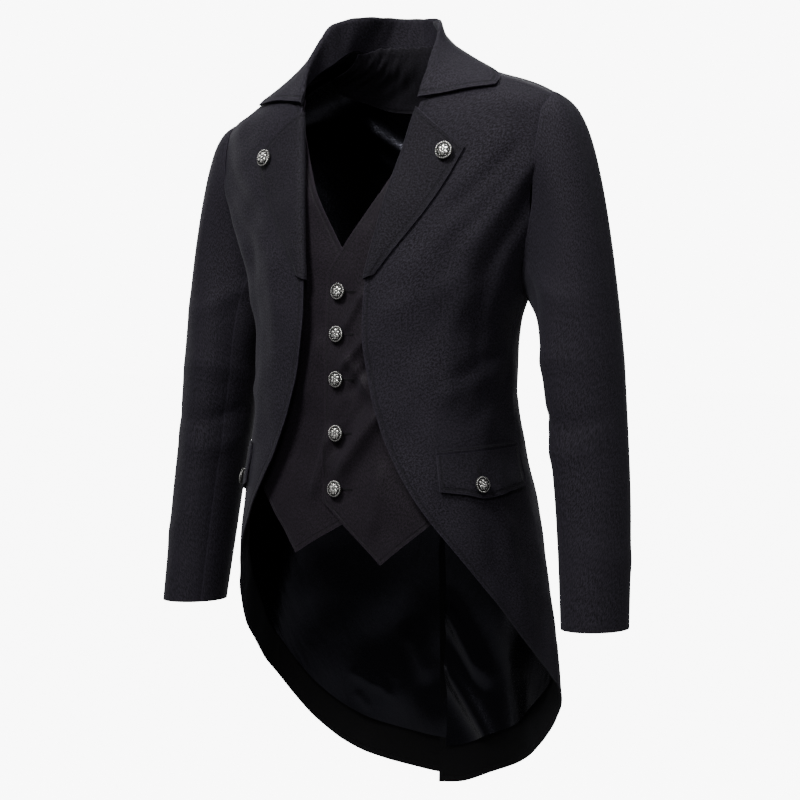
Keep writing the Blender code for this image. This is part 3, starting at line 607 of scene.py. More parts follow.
for side_name, side in SIDES:
    lap = VENT_LAP if side > 0 else 0.0

    def bottom(u):
        angle = mix(SIDE_SEAM_HEM + SEAM_CLOSED, 180.0 - SEAM_ANGLE + lap, u)
        return np.array([angle, hem(angle, side)])

    def top(u):
        if u <= SHOULDER_U:
            return np.array([90.0 + RIDGE_ANGLE, mix(SHOULDER_TIP[1], NECK_SIDE[1], u / SHOULDER_U)])
        t = (u - SHOULDER_U) / (1.0 - SHOULDER_U)
        return np.array([mix(90.0 + RIDGE_ANGLE, 180.0 - SEAM_ANGLE, t), mix(NECK_SIDE[1], NECK_BACK[1], t)])

    angle, height = patch(bottom, top, lambda v: side_line(v, ARMHOLE_BACK, SEAM_CLOSED, side),
                          lambda v: centre_back(v, side, bottom(1.0)[1]),
                          fractions((SHOULDER_U, 18), (1.0, 21)),
                          fractions((UNDERARM_V, 56), (1.0, 40)), 5.0)
    centre = np.abs(180.0 - angle) * BACK_DEGREE
    pucker = seam_pucker(centre, height) * (height > VENT_TOP)
    out = tuck(angle, height, side) + back_folds(angle, height) + pucker \
        + rumple(angle * BACK_DEGREE, height, 0.0006)
    sew_wall("back_" + side_name, *wall_on_form(angle, height, out, COAT_WALL), side, coat_cloth,
             BACK_CUT, BACK_AREA, "hung", ["neck_facing_cloth"], "b", 1.0)


# ----------------------------------------------------------------- front panels
# Two fronts of the same suiting, cut away from the waist to the side seams.  The
# edge turns under on itself, a waist dart is pressed flat, and the roll line
# carries on up into the lapel.
# Front edge of the coat above the hem's turn: height, angle
FRONT_EDGE = (
    (-0.715, 97.0),
    (-0.664, 77.0),
    (-0.621, 64.5),
    (-0.572, 51.5),
    (-0.520, 39.0),
    (-0.474, 30.5),
    (-0.430, 24.0),
    (-0.378, 18.5),
    (-0.330, 15.2),
    (-0.265, 13.4),
    (-0.241, 14.0),
    (-0.174, 15.6),
    (-0.112, 18.0),
    (-0.066, 22.0),
    (-0.056, 27.5),
    (-0.037, 37.5),
    (-0.026, 46.0),
    (-0.014, 60.0),
    (0.003, 90.0),
)
# Armhole from the underarm up to the shoulder tip: fraction, angle, height
ARMHOLE_FRONT = (
    (0.00, 98.0, -0.282),
    (0.08, 90.0, -0.270),
    (0.24, 80.0, -0.232),
    (0.47, 73.0, -0.178),
    (0.70, 66.5, -0.124),
    (0.86, 71.0, -0.084),
    (1.00, 90.0, -0.065),
)
# Angle where the hem starts, height of the gorge, and its share of the rows
FRONT_HEM_START = 97.0
GORGE_HEIGHT = -0.066
GORGE_V = UNDERARM_V + 0.7 * (1.0 - UNDERARM_V)
# The dart under the chest: angles at its top and foot, their heights
DART_TOP = (39.0, -0.227)
DART_FOOT = (45.0, -0.446)
# Metres of cloth to a degree, across the front and beside the side seam
FRONT_DEGREE = 0.0026
SIDE_DEGREE = 0.0030
# Creases in metres across and height: start, end, half width, rise.  The hollow
# dragged from the armhole, then the waist, the chest and skirt, and the drape.
FRONT_CREASES = (
    ((0.200, -0.150), (0.152, -0.262), 0.014, -0.0062),
    ((0.178, -0.135), (0.126, -0.232), 0.012, 0.0040),
    ((0.162, -0.245), (0.178, -0.345), 0.013, -0.0038),
    ((0.152, -0.120), (0.096, -0.190), 0.010, -0.0022),
    ((0.230, -0.340), (0.140, -0.372), 0.007, -0.0022),
    ((0.236, -0.362), (0.128, -0.394), 0.009, 0.0018),
    ((0.215, -0.395), (0.150, -0.425), 0.009, -0.0014),
    ((0.060, -0.262), (0.118, -0.190), 0.011, 0.0014),
    ((0.066, -0.300), (0.130, -0.262), 0.012, 0.0010),
    ((0.190, -0.480), (0.215, -0.640), 0.014, 0.0022),
    ((0.166, -0.520), (0.188, -0.660), 0.012, -0.0016),
    ((0.112, -0.200), (0.106, -0.360), 0.016, -0.0030),
    ((0.142, -0.260), (0.134, -0.400), 0.012, 0.0022),
    ((0.080, -0.240), (0.078, -0.330), 0.012, 0.0014),
)
FRONT_CUT = (0.34, 0.78)
FRONT_AREA = 0.110


def front_edge(v):
    """Cutaway edge, then the roll line, then the neck up to the shoulder."""
    if v <= UNDERARM_V:
        height = mix(FRONT_EDGE[0][0], UNDERARM[1], v / UNDERARM_V)
    elif v <= GORGE_V:
        height = mix(UNDERARM[1], GORGE_HEIGHT, (v - UNDERARM_V) / (GORGE_V - UNDERARM_V))
    else:
        height = mix(GORGE_HEIGHT, NECK_SIDE[1], (v - GORGE_V) / (1.0 - GORGE_V))
    return np.array([smooth(FRONT_EDGE, height)[0] - RIDGE_ANGLE * float(ease(0.9, 1.0, v)), height])


def front_folds(angle, height):
    """The pressed dart, the drag creases and a soft rumple."""
    (top, high), (foot, low) = DART_TOP, DART_FOOT
    away = angle - mix(top, foot, (high - height) / (high - low))
    along = ease(-0.19, -0.25, height) * ease(-0.50, -0.43, height)
    dart = 0.0034 * np.exp(-np.abs(away) / 6.0) * along - 0.0008 * np.exp(-(away / 0.8) ** 2) * along
    across = angle * FRONT_DEGREE
    return dart + creases(across, height, FRONT_CREASES) + rumple(across, height, 0.0008)


for side_name, side in SIDES:
    def bottom(u):
        angle = mix(FRONT_HEM_START, SIDE_SEAM_HEM - SEAM_CLOSED, u)
        return np.array([angle, hem(angle, side)])

    def shoulder(u):
        return np.array([90.0 - RIDGE_ANGLE, mix(NECK_SIDE[1], SHOULDER_TIP[1], u)])

    angle, height = patch(bottom, shoulder, front_edge,
                          lambda v: side_line(v, ARMHOLE_FRONT, -SEAM_CLOSED, side),
                          fractions((1.0, 48)), fractions((UNDERARM_V, 70), (1.0, 50)))
    side_away = np.abs(angle - SIDE_SEAM_HEM) * SIDE_DEGREE
    out = front_folds(angle, height) + seam_pucker(side_away, height, 0.0005) * (height < UNDERARM[1])
    sew_wall("front_" + side_name, *wall_on_form(angle, height, out, COAT_WALL), side, coat_cloth,
             FRONT_CUT, FRONT_AREA, "hung", ["back_%s_cloth" % side_name], "l", 1.0)


# ---------------------------------------------------------------------- lining
# Black satin inside the back and the tails, sewn to the neck facing above and
# felled 45 mm over the hem below.  It is cut a little full, so it gathers into
# soft slanting folds that catch the light.
# Free border, up from the hem and round the armhole: fraction, angle, height
LINING_EDGE = (
    (0.00, 94.0, -0.662),
    (0.20, 71.0, -0.568),
    (0.38, 62.0, -0.450),
    (0.54, 74.0, -0.330),
    (0.62, 98.0, -0.302),
    (0.69, 110.5, -0.275),
    (0.77, 118.5, -0.224),
    (0.86, 122.0, -0.162),
    (0.93, 120.5, -0.122),
    (0.97, 116.0, -0.102),
    (1.00, 109.0, -0.090),
)
# Height of the lining's edge over the hem
LINING_RISE = 0.045
# Angle where the neck facing starts, and the satin's gap to its edge
NECK_FACING_START = 101.0
NECK_FACING_GAP = 0.0008
# Lower edge of the neck facing: angle, height
NECK_FACING_EDGE = (
    (101.0, -0.020),
    (114.0, -0.025),
    (130.0, -0.034),
    (149.0, -0.046),
    (165.0, -0.060),
    (180.0, -0.066),
)
LINING_OUT = -(COAT_WALL + LINING_CLEAR)
# The centre seam in degrees, how far the right half laps past it above the vent,
# over what rise the lap grows, and how far each degree of it steps inwards
SATIN_SEAM = 179.85
SATIN_LAP = 1.4
SATIN_LAP_RISE = 0.05
SATIN_STEP = 0.0006
# Shares of the cloth at the end of the shoulder and at the waist
LINING_TOP_U = 0.4
LINING_WAIST_V = 0.54
# Creases of each half and the swag under the right of the neck, all inwards:
# start and end in metres across and height, half width, depth
SATIN_CREASES = {
    "left": (
        ((0.003, -0.655), (0.052, -0.735), 0.012, 0.0082),
        ((0.000, -0.722), (0.080, -0.832), 0.014, 0.0098),
        ((0.124, -0.700), (0.132, -0.810), 0.020, 0.0034),
    ),
    "right": (
        ((0.010, -0.800), (0.130, -0.735), 0.034, 0.0050),
        ((0.100, -0.764), (0.128, -0.744), 0.0050, 0.0012),
        ((0.082, -0.774), (0.104, -0.754), 0.0046, 0.0012),
        ((0.070, -0.750), (0.094, -0.738), 0.0042, 0.0010),
        ((0.112, -0.788), (0.124, -0.770), 0.0046, 0.0010),
        ((0.030, -0.745), (0.058, -0.690), 0.016, 0.0026),
        ((0.100, -0.078), (0.034, -0.122), 0.010, 0.0084),
        ((0.090, -0.112), (0.036, -0.150), 0.009, 0.0040),
    ),
}
LINING_CUT = (0.32, 0.86)
LINING_AREA = 0.172

satin, tree, shader = new_finish("lining_satin")
place, flat = cloth_maps(tree)
yarn = place_group(tree, heather, Place=place, Flat=flat)
crinkle = grain(tree, flat, 34.0, 4.0, 0.5, (1.0, 0.42, 1.0))
cloth = colour_mix(tree, yarn["Cloud"], (0.0005, 0.0005, 0.0007), (0.0011, 0.0010, 0.0015))
tree.links.new(cloth, shader.inputs["Base Color"])
tree.links.new(maths(tree, "MULTIPLY_ADD", yarn["Fibre"], 0.05, 0.23), shader.inputs["Roughness"])
fine = maths(tree, "MULTIPLY", yarn["Fibre"], 0.00003)
emboss(tree, maths(tree, "MULTIPLY_ADD", crinkle, 0.0014, fine), 0.8)
shader.inputs["Specular IOR Level"].default_value = 0.33
shader.inputs["Specular Tint"].default_value = (0.80, 0.80, 1.0, 1.0)


def lining_out(height):
    """The lining hangs a little freer under the shoulders' turn."""
    return LINING_OUT - 0.0028 * ease(-0.12, -0.05, height)


def satin_folds(angle, height, side_name, side):
    """The creases of a half, and the gathers low in its tail."""
    across = np.abs(form(angle, height)[..., 0])
    gathers = 0.0012 * ease(-0.58, -0.70, height) * (1.0 + np.sin(58.0 * across + 44.0 * height + side))
    return -(creases(across, height, SATIN_CREASES[side_name]) + gathers)


for side_name, side in SIDES:
    lapped = SATIN_LAP if side < 0 else 0.0
    start_angle, start_height = LINING_EDGE[0][1:]

    def bottom(u):
        angle = mix(start_angle, SATIN_SEAM, u)
        rise = start_height - hem(start_angle, side)
        return np.array([angle, hem(angle, side) + mix(rise, LINING_RISE, float(ease(0.0, 0.15, u)))])

    def top(u):
        first = LINING_EDGE[-1]
        if u <= LINING_TOP_U:
            end = np.array([NECK_FACING_START, NECK_FACING_EDGE[0][1] - NECK_FACING_GAP])
            return mix(np.array(first[1:]), end, u / LINING_TOP_U)
        angle = mix(NECK_FACING_START, SATIN_SEAM + lapped, (u - LINING_TOP_U) / (1.0 - LINING_TOP_U))
        return np.array([angle, smooth(NECK_FACING_EDGE, angle)[0] - NECK_FACING_GAP])

    def centre(v):
        height = mix(bottom(1.0)[1], top(1.0)[1], v)
        start = VENT_TOP + TUCK_RISE
        lap = lapped * float(ease(start, start + SATIN_LAP_RISE, height))
        return np.array([SATIN_SEAM + lap, height])

    angle, height = patch(bottom, top, lambda v: smooth(LINING_EDGE, v), centre,
                          fractions((LINING_TOP_U, 28), (1.0, 56)),
                          fractions((LINING_WAIST_V, 84), (1.0, 70)), 5.0)
    out = lining_out(height) + tuck(angle, height, side) + satin_folds(angle, height, side_name, side)
    out = out - SATIN_STEP * lapped * ease(177.5, 179.6, angle)
    sew_wall("lining_" + side_name, *wall_on_form(angle, height, out, LINING_WALL), side, satin,
             LINING_CUT, LINING_AREA, "gathered", ["back_%s_cloth" % side_name])


# ----------------------------------------------------------- back neck facing
# A shaped strip of the coat's suiting inside the back neck.  The satin is sewn
# to its lower edge and the collar stands on its upper one.
FACING_WALL = 0.0014
# How far the strip laps over the satin
FACING_LAP = 0.0016
# Top of the strip under the collar's stand, at its ends and between them
FACING_END_TOP = 0.0020
FACING_TOP = 0.0066
FACING_CUT = (0.26, 0.08)
FACING_AREA = 0.0148
FACING_STITCH_INSET = 0.003
# The coat's suiting in darker shades: painted shade inside the back neck.
FACING_SHADED_TONES = ((0.0016, 0.0014, 0.0022), (0.0120, 0.0102, 0.0150), (0.0070, 0.0062, 0.0090))
facing_cloth = suiting("facing_suiting_shaded", *FACING_SHADED_TONES, FACING_STITCH_INSET)

turns = np.array(fractions((1.0, 96)))[None, :]
rises = np.array(fractions((1.0, 16)))[:, None]
turns, rises = np.broadcast_arrays(turns, rises)
angle = mix(NECK_FACING_START, 360.0 - NECK_FACING_START, turns)
low = smooth(NECK_FACING_EDGE, np.minimum(angle, 360.0 - angle))[..., 0]
inward = ease(0.04, 0.20, np.minimum(turns, 1.0 - turns))
wave = 0.0008 * np.sin(angle * 0.47) + 0.0005 * np.sin(angle * 1.13 + 1.0)
height = mix(low - FACING_LAP, FACING_END_TOP + inward * (FACING_TOP + wave), rises)
out = mix(lining_out(height), -(COAT_WALL + 2.0 * SEAM_GAP), ease(0.55, 1.0, rises))
# It bellies inwards in soft waves, sinks on to the satin and rolls in at the top.
belly = 1.0 + 0.6 * np.sin(angle * 0.41 + 160.0 * height) + 0.4 * np.sin(angle * 0.83 - 90.0 * height)
roll = np.exp(-((rises - 0.93) / 0.05) ** 2) * (1.0 + 0.5 * np.sin(angle * 0.9))
out = out - 0.0044 * rises * (1 - rises) * belly - 0.0009 * ease(0.14, 0.03, rises) - 0.0010 * inward * roll
sew_wall("neck_facing", *wall_on_form(angle, height, out, FACING_WALL), 1, facing_cloth,
         FACING_CUT, FACING_AREA, "hung", ["collar_cloth"], "b")


# ---------------------------------------------------------------------- lapels
# Each lapel is the front's own edge rolled back at the break.  Its roll is
# steamed, not pressed, so it turns in a soft curve and then lies on the chest.
LAPEL_WALL = 0.0018
# Rows from break to notch: fraction, roll line's height, outer edge's x and height
LAPEL = (
    (0.00, -0.262, 0.054, -0.257),
    (0.25, -0.215, 0.081, -0.221),
    (0.50, -0.168, 0.108, -0.184),
    (0.75, -0.121, 0.128, -0.151),
    (1.00, -0.073, 0.143, -0.120),
)
# Turn of the roll, at the middle of the cloth: along the row, out of the coat
LAPEL_TURN = (
    (0.0120, -0.0046),
    (0.0040, -0.0046),
    (-0.0014, -0.0036),
    (-0.0034, -0.0010),
    (-0.0014, 0.0022),
    (0.0040, 0.0038),
)
# Face of the lapel beyond the turn: fraction of its width, out of the coat
LAPEL_FACE = (
    (0.25, 0.0040),
    (0.50, 0.0034),
    (0.75, 0.0026),
    (1.00, 0.0020),
)
# Rows up the lapel and steps across it; a lapel narrower than this turns less
LAPEL_ROWS = 66
LAPEL_STEPS = 44
LAPEL_FULL_TURN = 0.016
# The lapel lies on the chest's folds from here on, and takes this share of them
LAPEL_RESTS = 0.008
LAPEL_FOLDS = 0.9
LAPEL_CUT = (0.11, 0.22)
LAPEL_AREA = 0.0130
# The coat's own suiting in darker shades: painted shade on the rolled lapel.
LAPEL_SHADED_TONES = ((0.0013, 0.0011, 0.0019), (0.0158, 0.0133, 0.0202), (0.0100, 0.0088, 0.0128))
lapel_cloth = suiting("lapel_suiting_shaded", *LAPEL_SHADED_TONES)


def through(points, count):
    """A smooth line of count steps through the given points."""
    points = np.array(points, dtype=float)
    ends = np.concatenate([[2 * points[0] - points[1]], points, [2 * points[-1] - points[-2]]])
    chords = np.linalg.norm(np.diff(points, axis=0), axis=1)
    reach = np.concatenate([[0.0], np.cumsum(chords)])
    tangents = (ends[2:] - ends[:-2])
    spread = np.concatenate([[chords[0]], (chords[1:] + chords[:-1]) / 2, [chords[-1]]])
    tangents = tangents / (2 * spread[:, None])
    at = np.linspace(0.0, reach[-1], count + 1)
    i = np.clip(np.searchsorted(reach, at, side="right") - 1, 0, len(points) - 2)
    step = (reach[i + 1] - reach[i])[:, None]
    t = ((at - reach[i]) / step[:, 0])[:, None]
    return hermite(points[i], tangents[i] * step, points[i + 1], tangents[i + 1] * step, t)


def about(middle, wall):
    """Outer and inner grids of a wall about its middle."""
    grid = np.array(middle)
    normals = np.cross(np.gradient(grid, axis=1), np.gradient(grid, axis=0))
    normals /= np.linalg.norm(normals, axis=2, keepdims=True)
    return grid + normals * wall / 2, grid - normals * wall / 2


def angle_at(x, height):
    """Angle of the front's point that lies at x."""
    width, _, _, _, squareness = smooth(SECTIONS, height)
    across = min(abs(x) / width, 0.999)
    ahead = (1.0 - across ** squareness) ** (1.0 / squareness)
    return math.copysign(math.degrees(math.atan2(across, ahead)), x)


for side_name, side in SIDES:
    middle = []
    for v in fractions((1.0, LAPEL_ROWS)):
        roll_height, outer_x, outer_height = smooth(LAPEL, v)
        roll_x = form(smooth(FRONT_EDGE, roll_height)[0], roll_height)[0]
        row = np.array([outer_x - roll_x, outer_height - roll_height])
        width = np.linalg.norm(row)
        row = row / width
        turn = min(1.0, width / LAPEL_FULL_TURN)
        profile = [(along * turn, out) for along, out in LAPEL_TURN]
        start = LAPEL_TURN[-1][0] * turn
        profile += [(mix(start, width, part), out) for part, out in LAPEL_FACE]
        points = []
        for along, out in profile:
            height = roll_height + row[1] * along
            angle = angle_at(roll_x + row[0] * along, height)
            crown = LAPEL_FOLDS * float(front_folds(angle, height)) if along > LAPEL_RESTS else 0.0
            points.append(on_form(angle, height, out + crown))
        middle.append(through(points, LAPEL_STEPS))
    outer, inner = about(middle, LAPEL_WALL)
    sew_wall("lapel_" + side_name, outer, inner, side, lapel_cloth, LAPEL_CUT, LAPEL_AREA, "folded",
             ["front_%s_cloth" % side_name], "tr")


# ---------------------------------------------------------------------- collar
# One piece of suiting round the neck: a stand rises from the neck seam, turns at
# the crease and falls as a leaf on the shoulders, its ends cut to a notch.
# Centre back to front end: fraction along it, the neck seam's angle and height,
# the crease's x, y and z, how much higher the right side's crease rolls, and the
# outer edge's angle and height
COLLAR = (
    (0.00, 180.0, 0.004, 0.000, 0.052, 0.041, 0.000, 180.0, -0.020),
    (0.25, 140.0, 0.004, 0.029, 0.042, 0.041, 0.001, 149.0, -0.020),
    (0.50, 97.0, 0.005, 0.047, 0.008, 0.037, 0.004, 104.0, -0.019),
    (0.70, 67.0, -0.006, 0.073, -0.026, 0.023, 0.009, 85.0, -0.029),
    (0.86, 36.5, -0.036, 0.080, -0.058, -0.022, 0.010, 70.0, -0.042),
    (1.00, 26.0, -0.060, 0.079, -0.080, -0.063, 0.000, 55.5, -0.055),
)
# How far the leaf's edge stands off the coat and the stand off its seam, how much
# the leaf hollows, the radius of the roll, and how far the stand sinks in the neck
COLLAR_CLEAR = 0.0038
COLLAR_SEAM_STEP = 0.0018
COLLAR_SAG = 0.20
COLLAR_ROLL = 0.0022
COLLAR_SUNK = 0.0030
# Steps across the collar, the one on the crease, and columns along each half
COLLAR_STEPS = 44
CREASE_STEP = 17
COLLAR_COLUMNS = 65
# The left side's crease has settled: how deep, which way, where along the collar
# and how widely, and over how many steps
SETTLED = 0.0072
SETTLED_WAY = (0.62, 0.42, 1.0)
SETTLED_SHARE = 0.45
SETTLED_SPREAD = 0.22
SETTLED_STEPS = 12.0
COLLAR_CUT = (0.56, 0.12)
COLLAR_AREA = 0.0405


def clear_of_form(point, distance):
    """The point, moved out along the form's slope until it is clear of it."""
    def depth(p):
        width, front, widest, back, squareness = smooth(SECTIONS, p[2])
        across = abs(p[0]) / width
        along = (widest - p[1]) / (widest - front) if p[1] < widest else (p[1] - widest) / (back - widest)
        return (across ** squareness + along ** squareness) ** (1.0 / squareness) - 1.0

    step = 0.0005
    for _ in range(6):
        value = depth(point)
        slope = np.array([(depth(point + step * axis) - value) / step for axis in np.eye(3)])
        size = np.linalg.norm(slope)
        short = distance - value / size
        if short <= 0.0:
            break
        point = point + slope / size * short
    return point


def collar_row(fraction):
    """Middle of the collar's cloth from the neck seam over the crease to its edge."""
    side = -1.0 if fraction < 0.0 else 1.0
    seam_angle, seam_height, x, y, z, higher, edge_angle, edge_height = smooth(COLLAR, abs(fraction))
    crease = np.array([x, y, z + higher * (side < 0)])
    seam = on_form(seam_angle, seam_height)
    seam = seam + (crease - seam) / np.linalg.norm(crease - seam) * COLLAR_SEAM_STEP
    edge = on_form(edge_angle, edge_height, COLLAR_CLEAR)
    rise = crease - seam
    height = np.linalg.norm(rise)
    rise /= height
    flat_end = ease(0.70, 0.90, abs(fraction))
    over = mix((edge - crease) / np.linalg.norm(edge - crease), outward(seam_angle, seam_height), flat_end)
    over -= rise * np.dot(over, rise)
    over /= np.linalg.norm(over)
    points = [seam, seam + rise * height * 0.5]
    for turn in (0.0, 60.0, 120.0, 180.0):
        c, s = math.cos(math.radians(turn)), math.sin(math.radians(turn))
        points.append(crease + COLLAR_ROLL * (rise * (s - 1.0) + over * (1.0 - c)))
    start = points[-1]
    fall = edge - start
    away = fall * np.array([1.0, 1.0, 0.0])
    sag = -COLLAR_SAG * (1.0 - ease(0.70, 1.0, abs(fraction)))
    for part in (0.3, 0.62):
        bend = away * sag * math.sin(math.pi * part)
        points.append(clear_of_form(start + fall * part + bend, COLLAR_CLEAR + 0.0008))
    points.append(edge)
    return [p * np.array([side, 1.0, 1.0]) for p in points]


half = fractions((1.0, COLLAR_COLUMNS))
shares = np.array([-f for f in half[:0:-1]] + half)
steps = np.arange(COLLAR_STEPS + 1)
middle = np.array([through(collar_row(f), COLLAR_STEPS) for f in shares])
sunk = middle[:, 0] - middle[:, 1]
middle[:, 0] += sunk / np.linalg.norm(sunk, axis=1, keepdims=True) * COLLAR_SUNK
settled = (ridge(shares - SETTLED_SHARE, SETTLED_SPREAD, SETTLED)[:, None]
           * ridge(steps - CREASE_STEP, SETTLED_STEPS, 1.0))
middle -= settled[..., None] * np.array(SETTLED_WAY)
outer, inner = about(middle, LAPEL_WALL)
stand = np.sin(math.pi * np.clip(steps / CREASE_STEP, 0.0, 1.0))
buckle = 0.0006 * (np.sin(27.0 * shares + 0.4) + 0.8 * np.sin(49.0 * shares + 2.0))[:, None] * stand
shift = (outer - inner) / LAPEL_WALL * buckle[..., None]
outer, inner = outer + shift, inner + shift
sew_wall("collar", outer, inner, 1, coat_cloth, COLLAR_CUT, COLLAR_AREA, "folded",
         ["back_left_cloth", "back_right_cloth"], "rbt")


# ------------------------------------------------------------- mock waistcoat
# Two waistcoat fronts of a slightly warmer suiting, sewn into the coat at the
# side and shoulder, the left lapped over the right and cut to two points.  The
# V and the hem are topstitched.
VEST_WALL = 0.0016
VEST_OUT = -(COAT_WALL + LAPEL_WALL + 0.0018)
VEST_STEP = VEST_WALL + LAYER_GAP
# Edge of the lap, as x, and the height up to which the left one's edge is thick
VEST_LAP = -0.019
LAP_EDGE_TOP = -0.25
# Corners of the armhole, as angle and height: underarm, chest, shoulder, neck
VEST_UNDERARM = (74.0, -0.270)
VEST_CHEST = (60.0, -0.110)
VEST_SHOULDER = (82.0, -0.044)
VEST_NECK = (82.0, -0.018)
# Shares of a half at the foot of the V, the armhole's corner and the hem's point
VEST_NECK_V = 0.46
VEST_CHEST_V = 0.7
VEST_POINT_U = 0.45
# How far the waistcoat lies inside the coat's layers at the front: height, depth
VEST_DEPTH = (
    (-0.600, 0.012),
    (-0.500, 0.015),
    (-0.374, 0.011),
    (-0.275, 0.009),
    (-0.227, 0.005),
    (-0.158, 0.001),
    (0.010, 0.000),
)
# Neckline: height, x.  It crosses the centre line at the bottom of the V.
VEST_NECKLINE = (
    (-0.253, -0.019),
    (-0.227, 0.000),
    (-0.192, 0.025),
    (-0.158, 0.048),
    (-0.105, 0.073),
    (-0.066, 0.086),
    (-0.030, 0.094),
)
# Hem of each half: x, height on the left, height on the right
VEST_HEM = (
    (-0.019, -0.512, -0.530),
    (0.062, -0.580, -0.573),
    (0.115, -0.540, -0.510),
    (0.150, -0.510, -0.465),
)
# Drag creases between the buttons and over the stomach, in metres across and
# height: start, end, half width, rise
VEST_CREASES = (
    ((0.062, -0.406), (0.005, -0.476), 0.0100, 0.0072),
    ((0.044, -0.390), (-0.010, -0.456), 0.0090, -0.0030),
    ((0.030, -0.385), (-0.004, -0.425), 0.0075, -0.0018),
    ((0.044, -0.322), (0.006, -0.362), 0.0060, 0.0046),
    ((0.046, -0.352), (0.016, -0.388), 0.0060, -0.0030),
    ((0.016, -0.352), (0.046, -0.395), 0.0055, 0.0034),
    ((0.034, -0.274), (0.008, -0.318), 0.0055, 0.0036),
    ((-0.012, -0.436), (-0.034, -0.500), 0.0080, 0.0038),
    ((-0.030, -0.330), (-0.050, -0.400), 0.0090, 0.0022),
    ((0.062, -0.470), (0.050, -0.540), 0.0100, 0.0034),
    ((0.030, -0.215), (0.060, -0.160), 0.0080, 0.0016),
)
# How much of those creases the cloth takes, how much where a button or a hole
# holds it, and how much of the coat's hollows it follows at the side
VEST_FOLDS = 1.35
HELD_FOLDS = 0.8
VEST_TUCKED = 1.15
VEST_CUT = (0.21, 0.57)
VEST_AREA = 0.086
VEST_SHADES = ((0.0012, 0.0008, 0.0015), (0.0152, 0.0102, 0.0166), (0.0090, 0.0070, 0.0100))
vest_cloth = suiting("vest_suiting", *VEST_SHADES, inset=0.005, soft=0.74, gloss=0.18)


def at_x(x, height):
    """Angle and height of the front's point that lies at x."""
    return np.array([angle_at(x, height), height])


def vest_depth(angle, height):
    """How far the waistcoat lies inside the coat's layers."""
    return smooth(VEST_DEPTH, height)[..., 0] * (1.0 - ease(14.0, 66.0, np.abs(angle)))


def vest_folds(x, height):
    """The drag creases and a soft rumple."""
    return creases(x, height, VEST_CREASES) + rumple(x, height, 0.0006)


for side_name, side in SIDES:
    column = 0 if side > 0 else 1
    hem_rows = [(row[0], row[1 + column]) for row in VEST_HEM]
    base = VEST_OUT if side > 0 else VEST_OUT - VEST_STEP

    def bottom(u):
        if u <= VEST_POINT_U:
            x = mix(VEST_LAP, VEST_HEM[1][0], u / VEST_POINT_U)
        else:
            x = mix(VEST_HEM[1][0], VEST_HEM[-1][0], (u - VEST_POINT_U) / (1.0 - VEST_POINT_U))
        before = max(k for k in range(len(hem_rows) - 1) if x >= hem_rows[k][0] - 1e-9)
        (x0, z0), (x1, z1) = hem_rows[before], hem_rows[before + 1]
        return at_x(x, mix(z0, z1, (x - x0) / (x1 - x0)))

    def centre(v):
        if v <= VEST_NECK_V:
            return at_x(VEST_LAP, mix(hem_rows[0][1], VEST_NECKLINE[0][0], v / VEST_NECK_V))
        t = (v - VEST_NECK_V) / (1.0 - VEST_NECK_V)
        height = mix(VEST_NECKLINE[0][0], VEST_NECKLINE[-1][0], t)
        low = at_x(smooth(VEST_NECKLINE, height)[0], height)
        return mix(low, np.array(VEST_NECK), float(ease(0.9, 1.0, t)))

    def armhole_side(v):
        underarm, chest, shoulder = np.array([VEST_UNDERARM, VEST_CHEST, VEST_SHOULDER])
        if v <= UNDERARM_V:
            return mix(bottom(1.0), underarm, v / UNDERARM_V)
        t = (v - UNDERARM_V) / (1.0 - UNDERARM_V)
        if t < VEST_CHEST_V:
            return mix(underarm, chest, t / VEST_CHEST_V)
        return mix(chest, shoulder, (t - VEST_CHEST_V) / (1.0 - VEST_CHEST_V))

    angle, height = patch(bottom, lambda u: mix(np.array(VEST_NECK), np.array(VEST_SHOULDER), u),
                          centre, armhole_side,
                          fractions((VEST_POINT_U, 40), (1.0, 30)),
                          fractions((VEST_NECK_V, 72), (UNDERARM_V, 15), (1.0, 50)))
    x = form(angle, height)[..., 0]
    lap_edge = 0.0006 * ease(0.012, 0.0, np.abs(x - VEST_LAP)) * (side > 0) * (height < LAP_EDGE_TOP)
    tucked = np.minimum(front_folds(np.abs(angle), height), 0.0) * ease(42.0, 52.0, np.abs(angle))
    out = base - vest_depth(angle, height) + VEST_FOLDS * vest_folds(side * x, height) \
        + lap_edge + VEST_TUCKED * tucked
    sew_wall("vest_" + side_name, *wall_on_form(angle, height, out, VEST_WALL), side, vest_cloth,
             VEST_CUT, VEST_AREA, "hung", ["front_%s_cloth" % side_name], "lb")


# --------------------------------------------------------------------- pockets
# A welt topstitched on the front over each hip, and under it a flap with a
# dipped lower edge, lined, turned and topstitched, that buttons down.
# Flap: fraction across, angle, height of the top and of the bottom
FLAP = (
    (0.00, 45.5, -0.456, -0.496),
    (0.25, 55.0, -0.455, -0.500),
    (0.48, 66.0, -0.454, -0.506),
    (0.75, 82.0, -0.453, -0.501),
    (1.00, 98.0, -0.452, -0.497),
)
FLAP_WALL = 0.0018
FLAP_POINT = 0.48
# How far the flap's lower edge hangs away from the front
FLAP_HANG = 0.0016
WELT_HEIGHT = 0.006
WELT_WALL = 0.0012
FLAP_CUT = (0.15, 0.054)
FLAP_AREA = 0.0060
WELT_CUT = (0.15, 0.010)
WELT_AREA = 0.00076
# The coat's suiting a little darker: painted shade on the flaps and welts.
POCKET_SHADED_TONES = ((0.0017, 0.0015, 0.0025), (0.0190, 0.0162, 0.0242), (0.0085, 0.0078, 0.0108))
FLAP_STITCH_INSET = 0.0045
WELT_STITCH_INSET = 0.0018
flap_cloth = suiting("flap_suiting_shaded", *POCKET_SHADED_TONES, FLAP_STITCH_INSET)
welt_cloth = suiting("welt_suiting_shaded", *POCKET_SHADED_TONES, WELT_STITCH_INSET)


def flap_face(angle, height):
    """How far the flap's face stands out of the front."""
    hang = FLAP_HANG * ease(0.455, 0.500, -height)
    return LAYER_GAP + FLAP_WALL + hang + front_folds(angle, height)


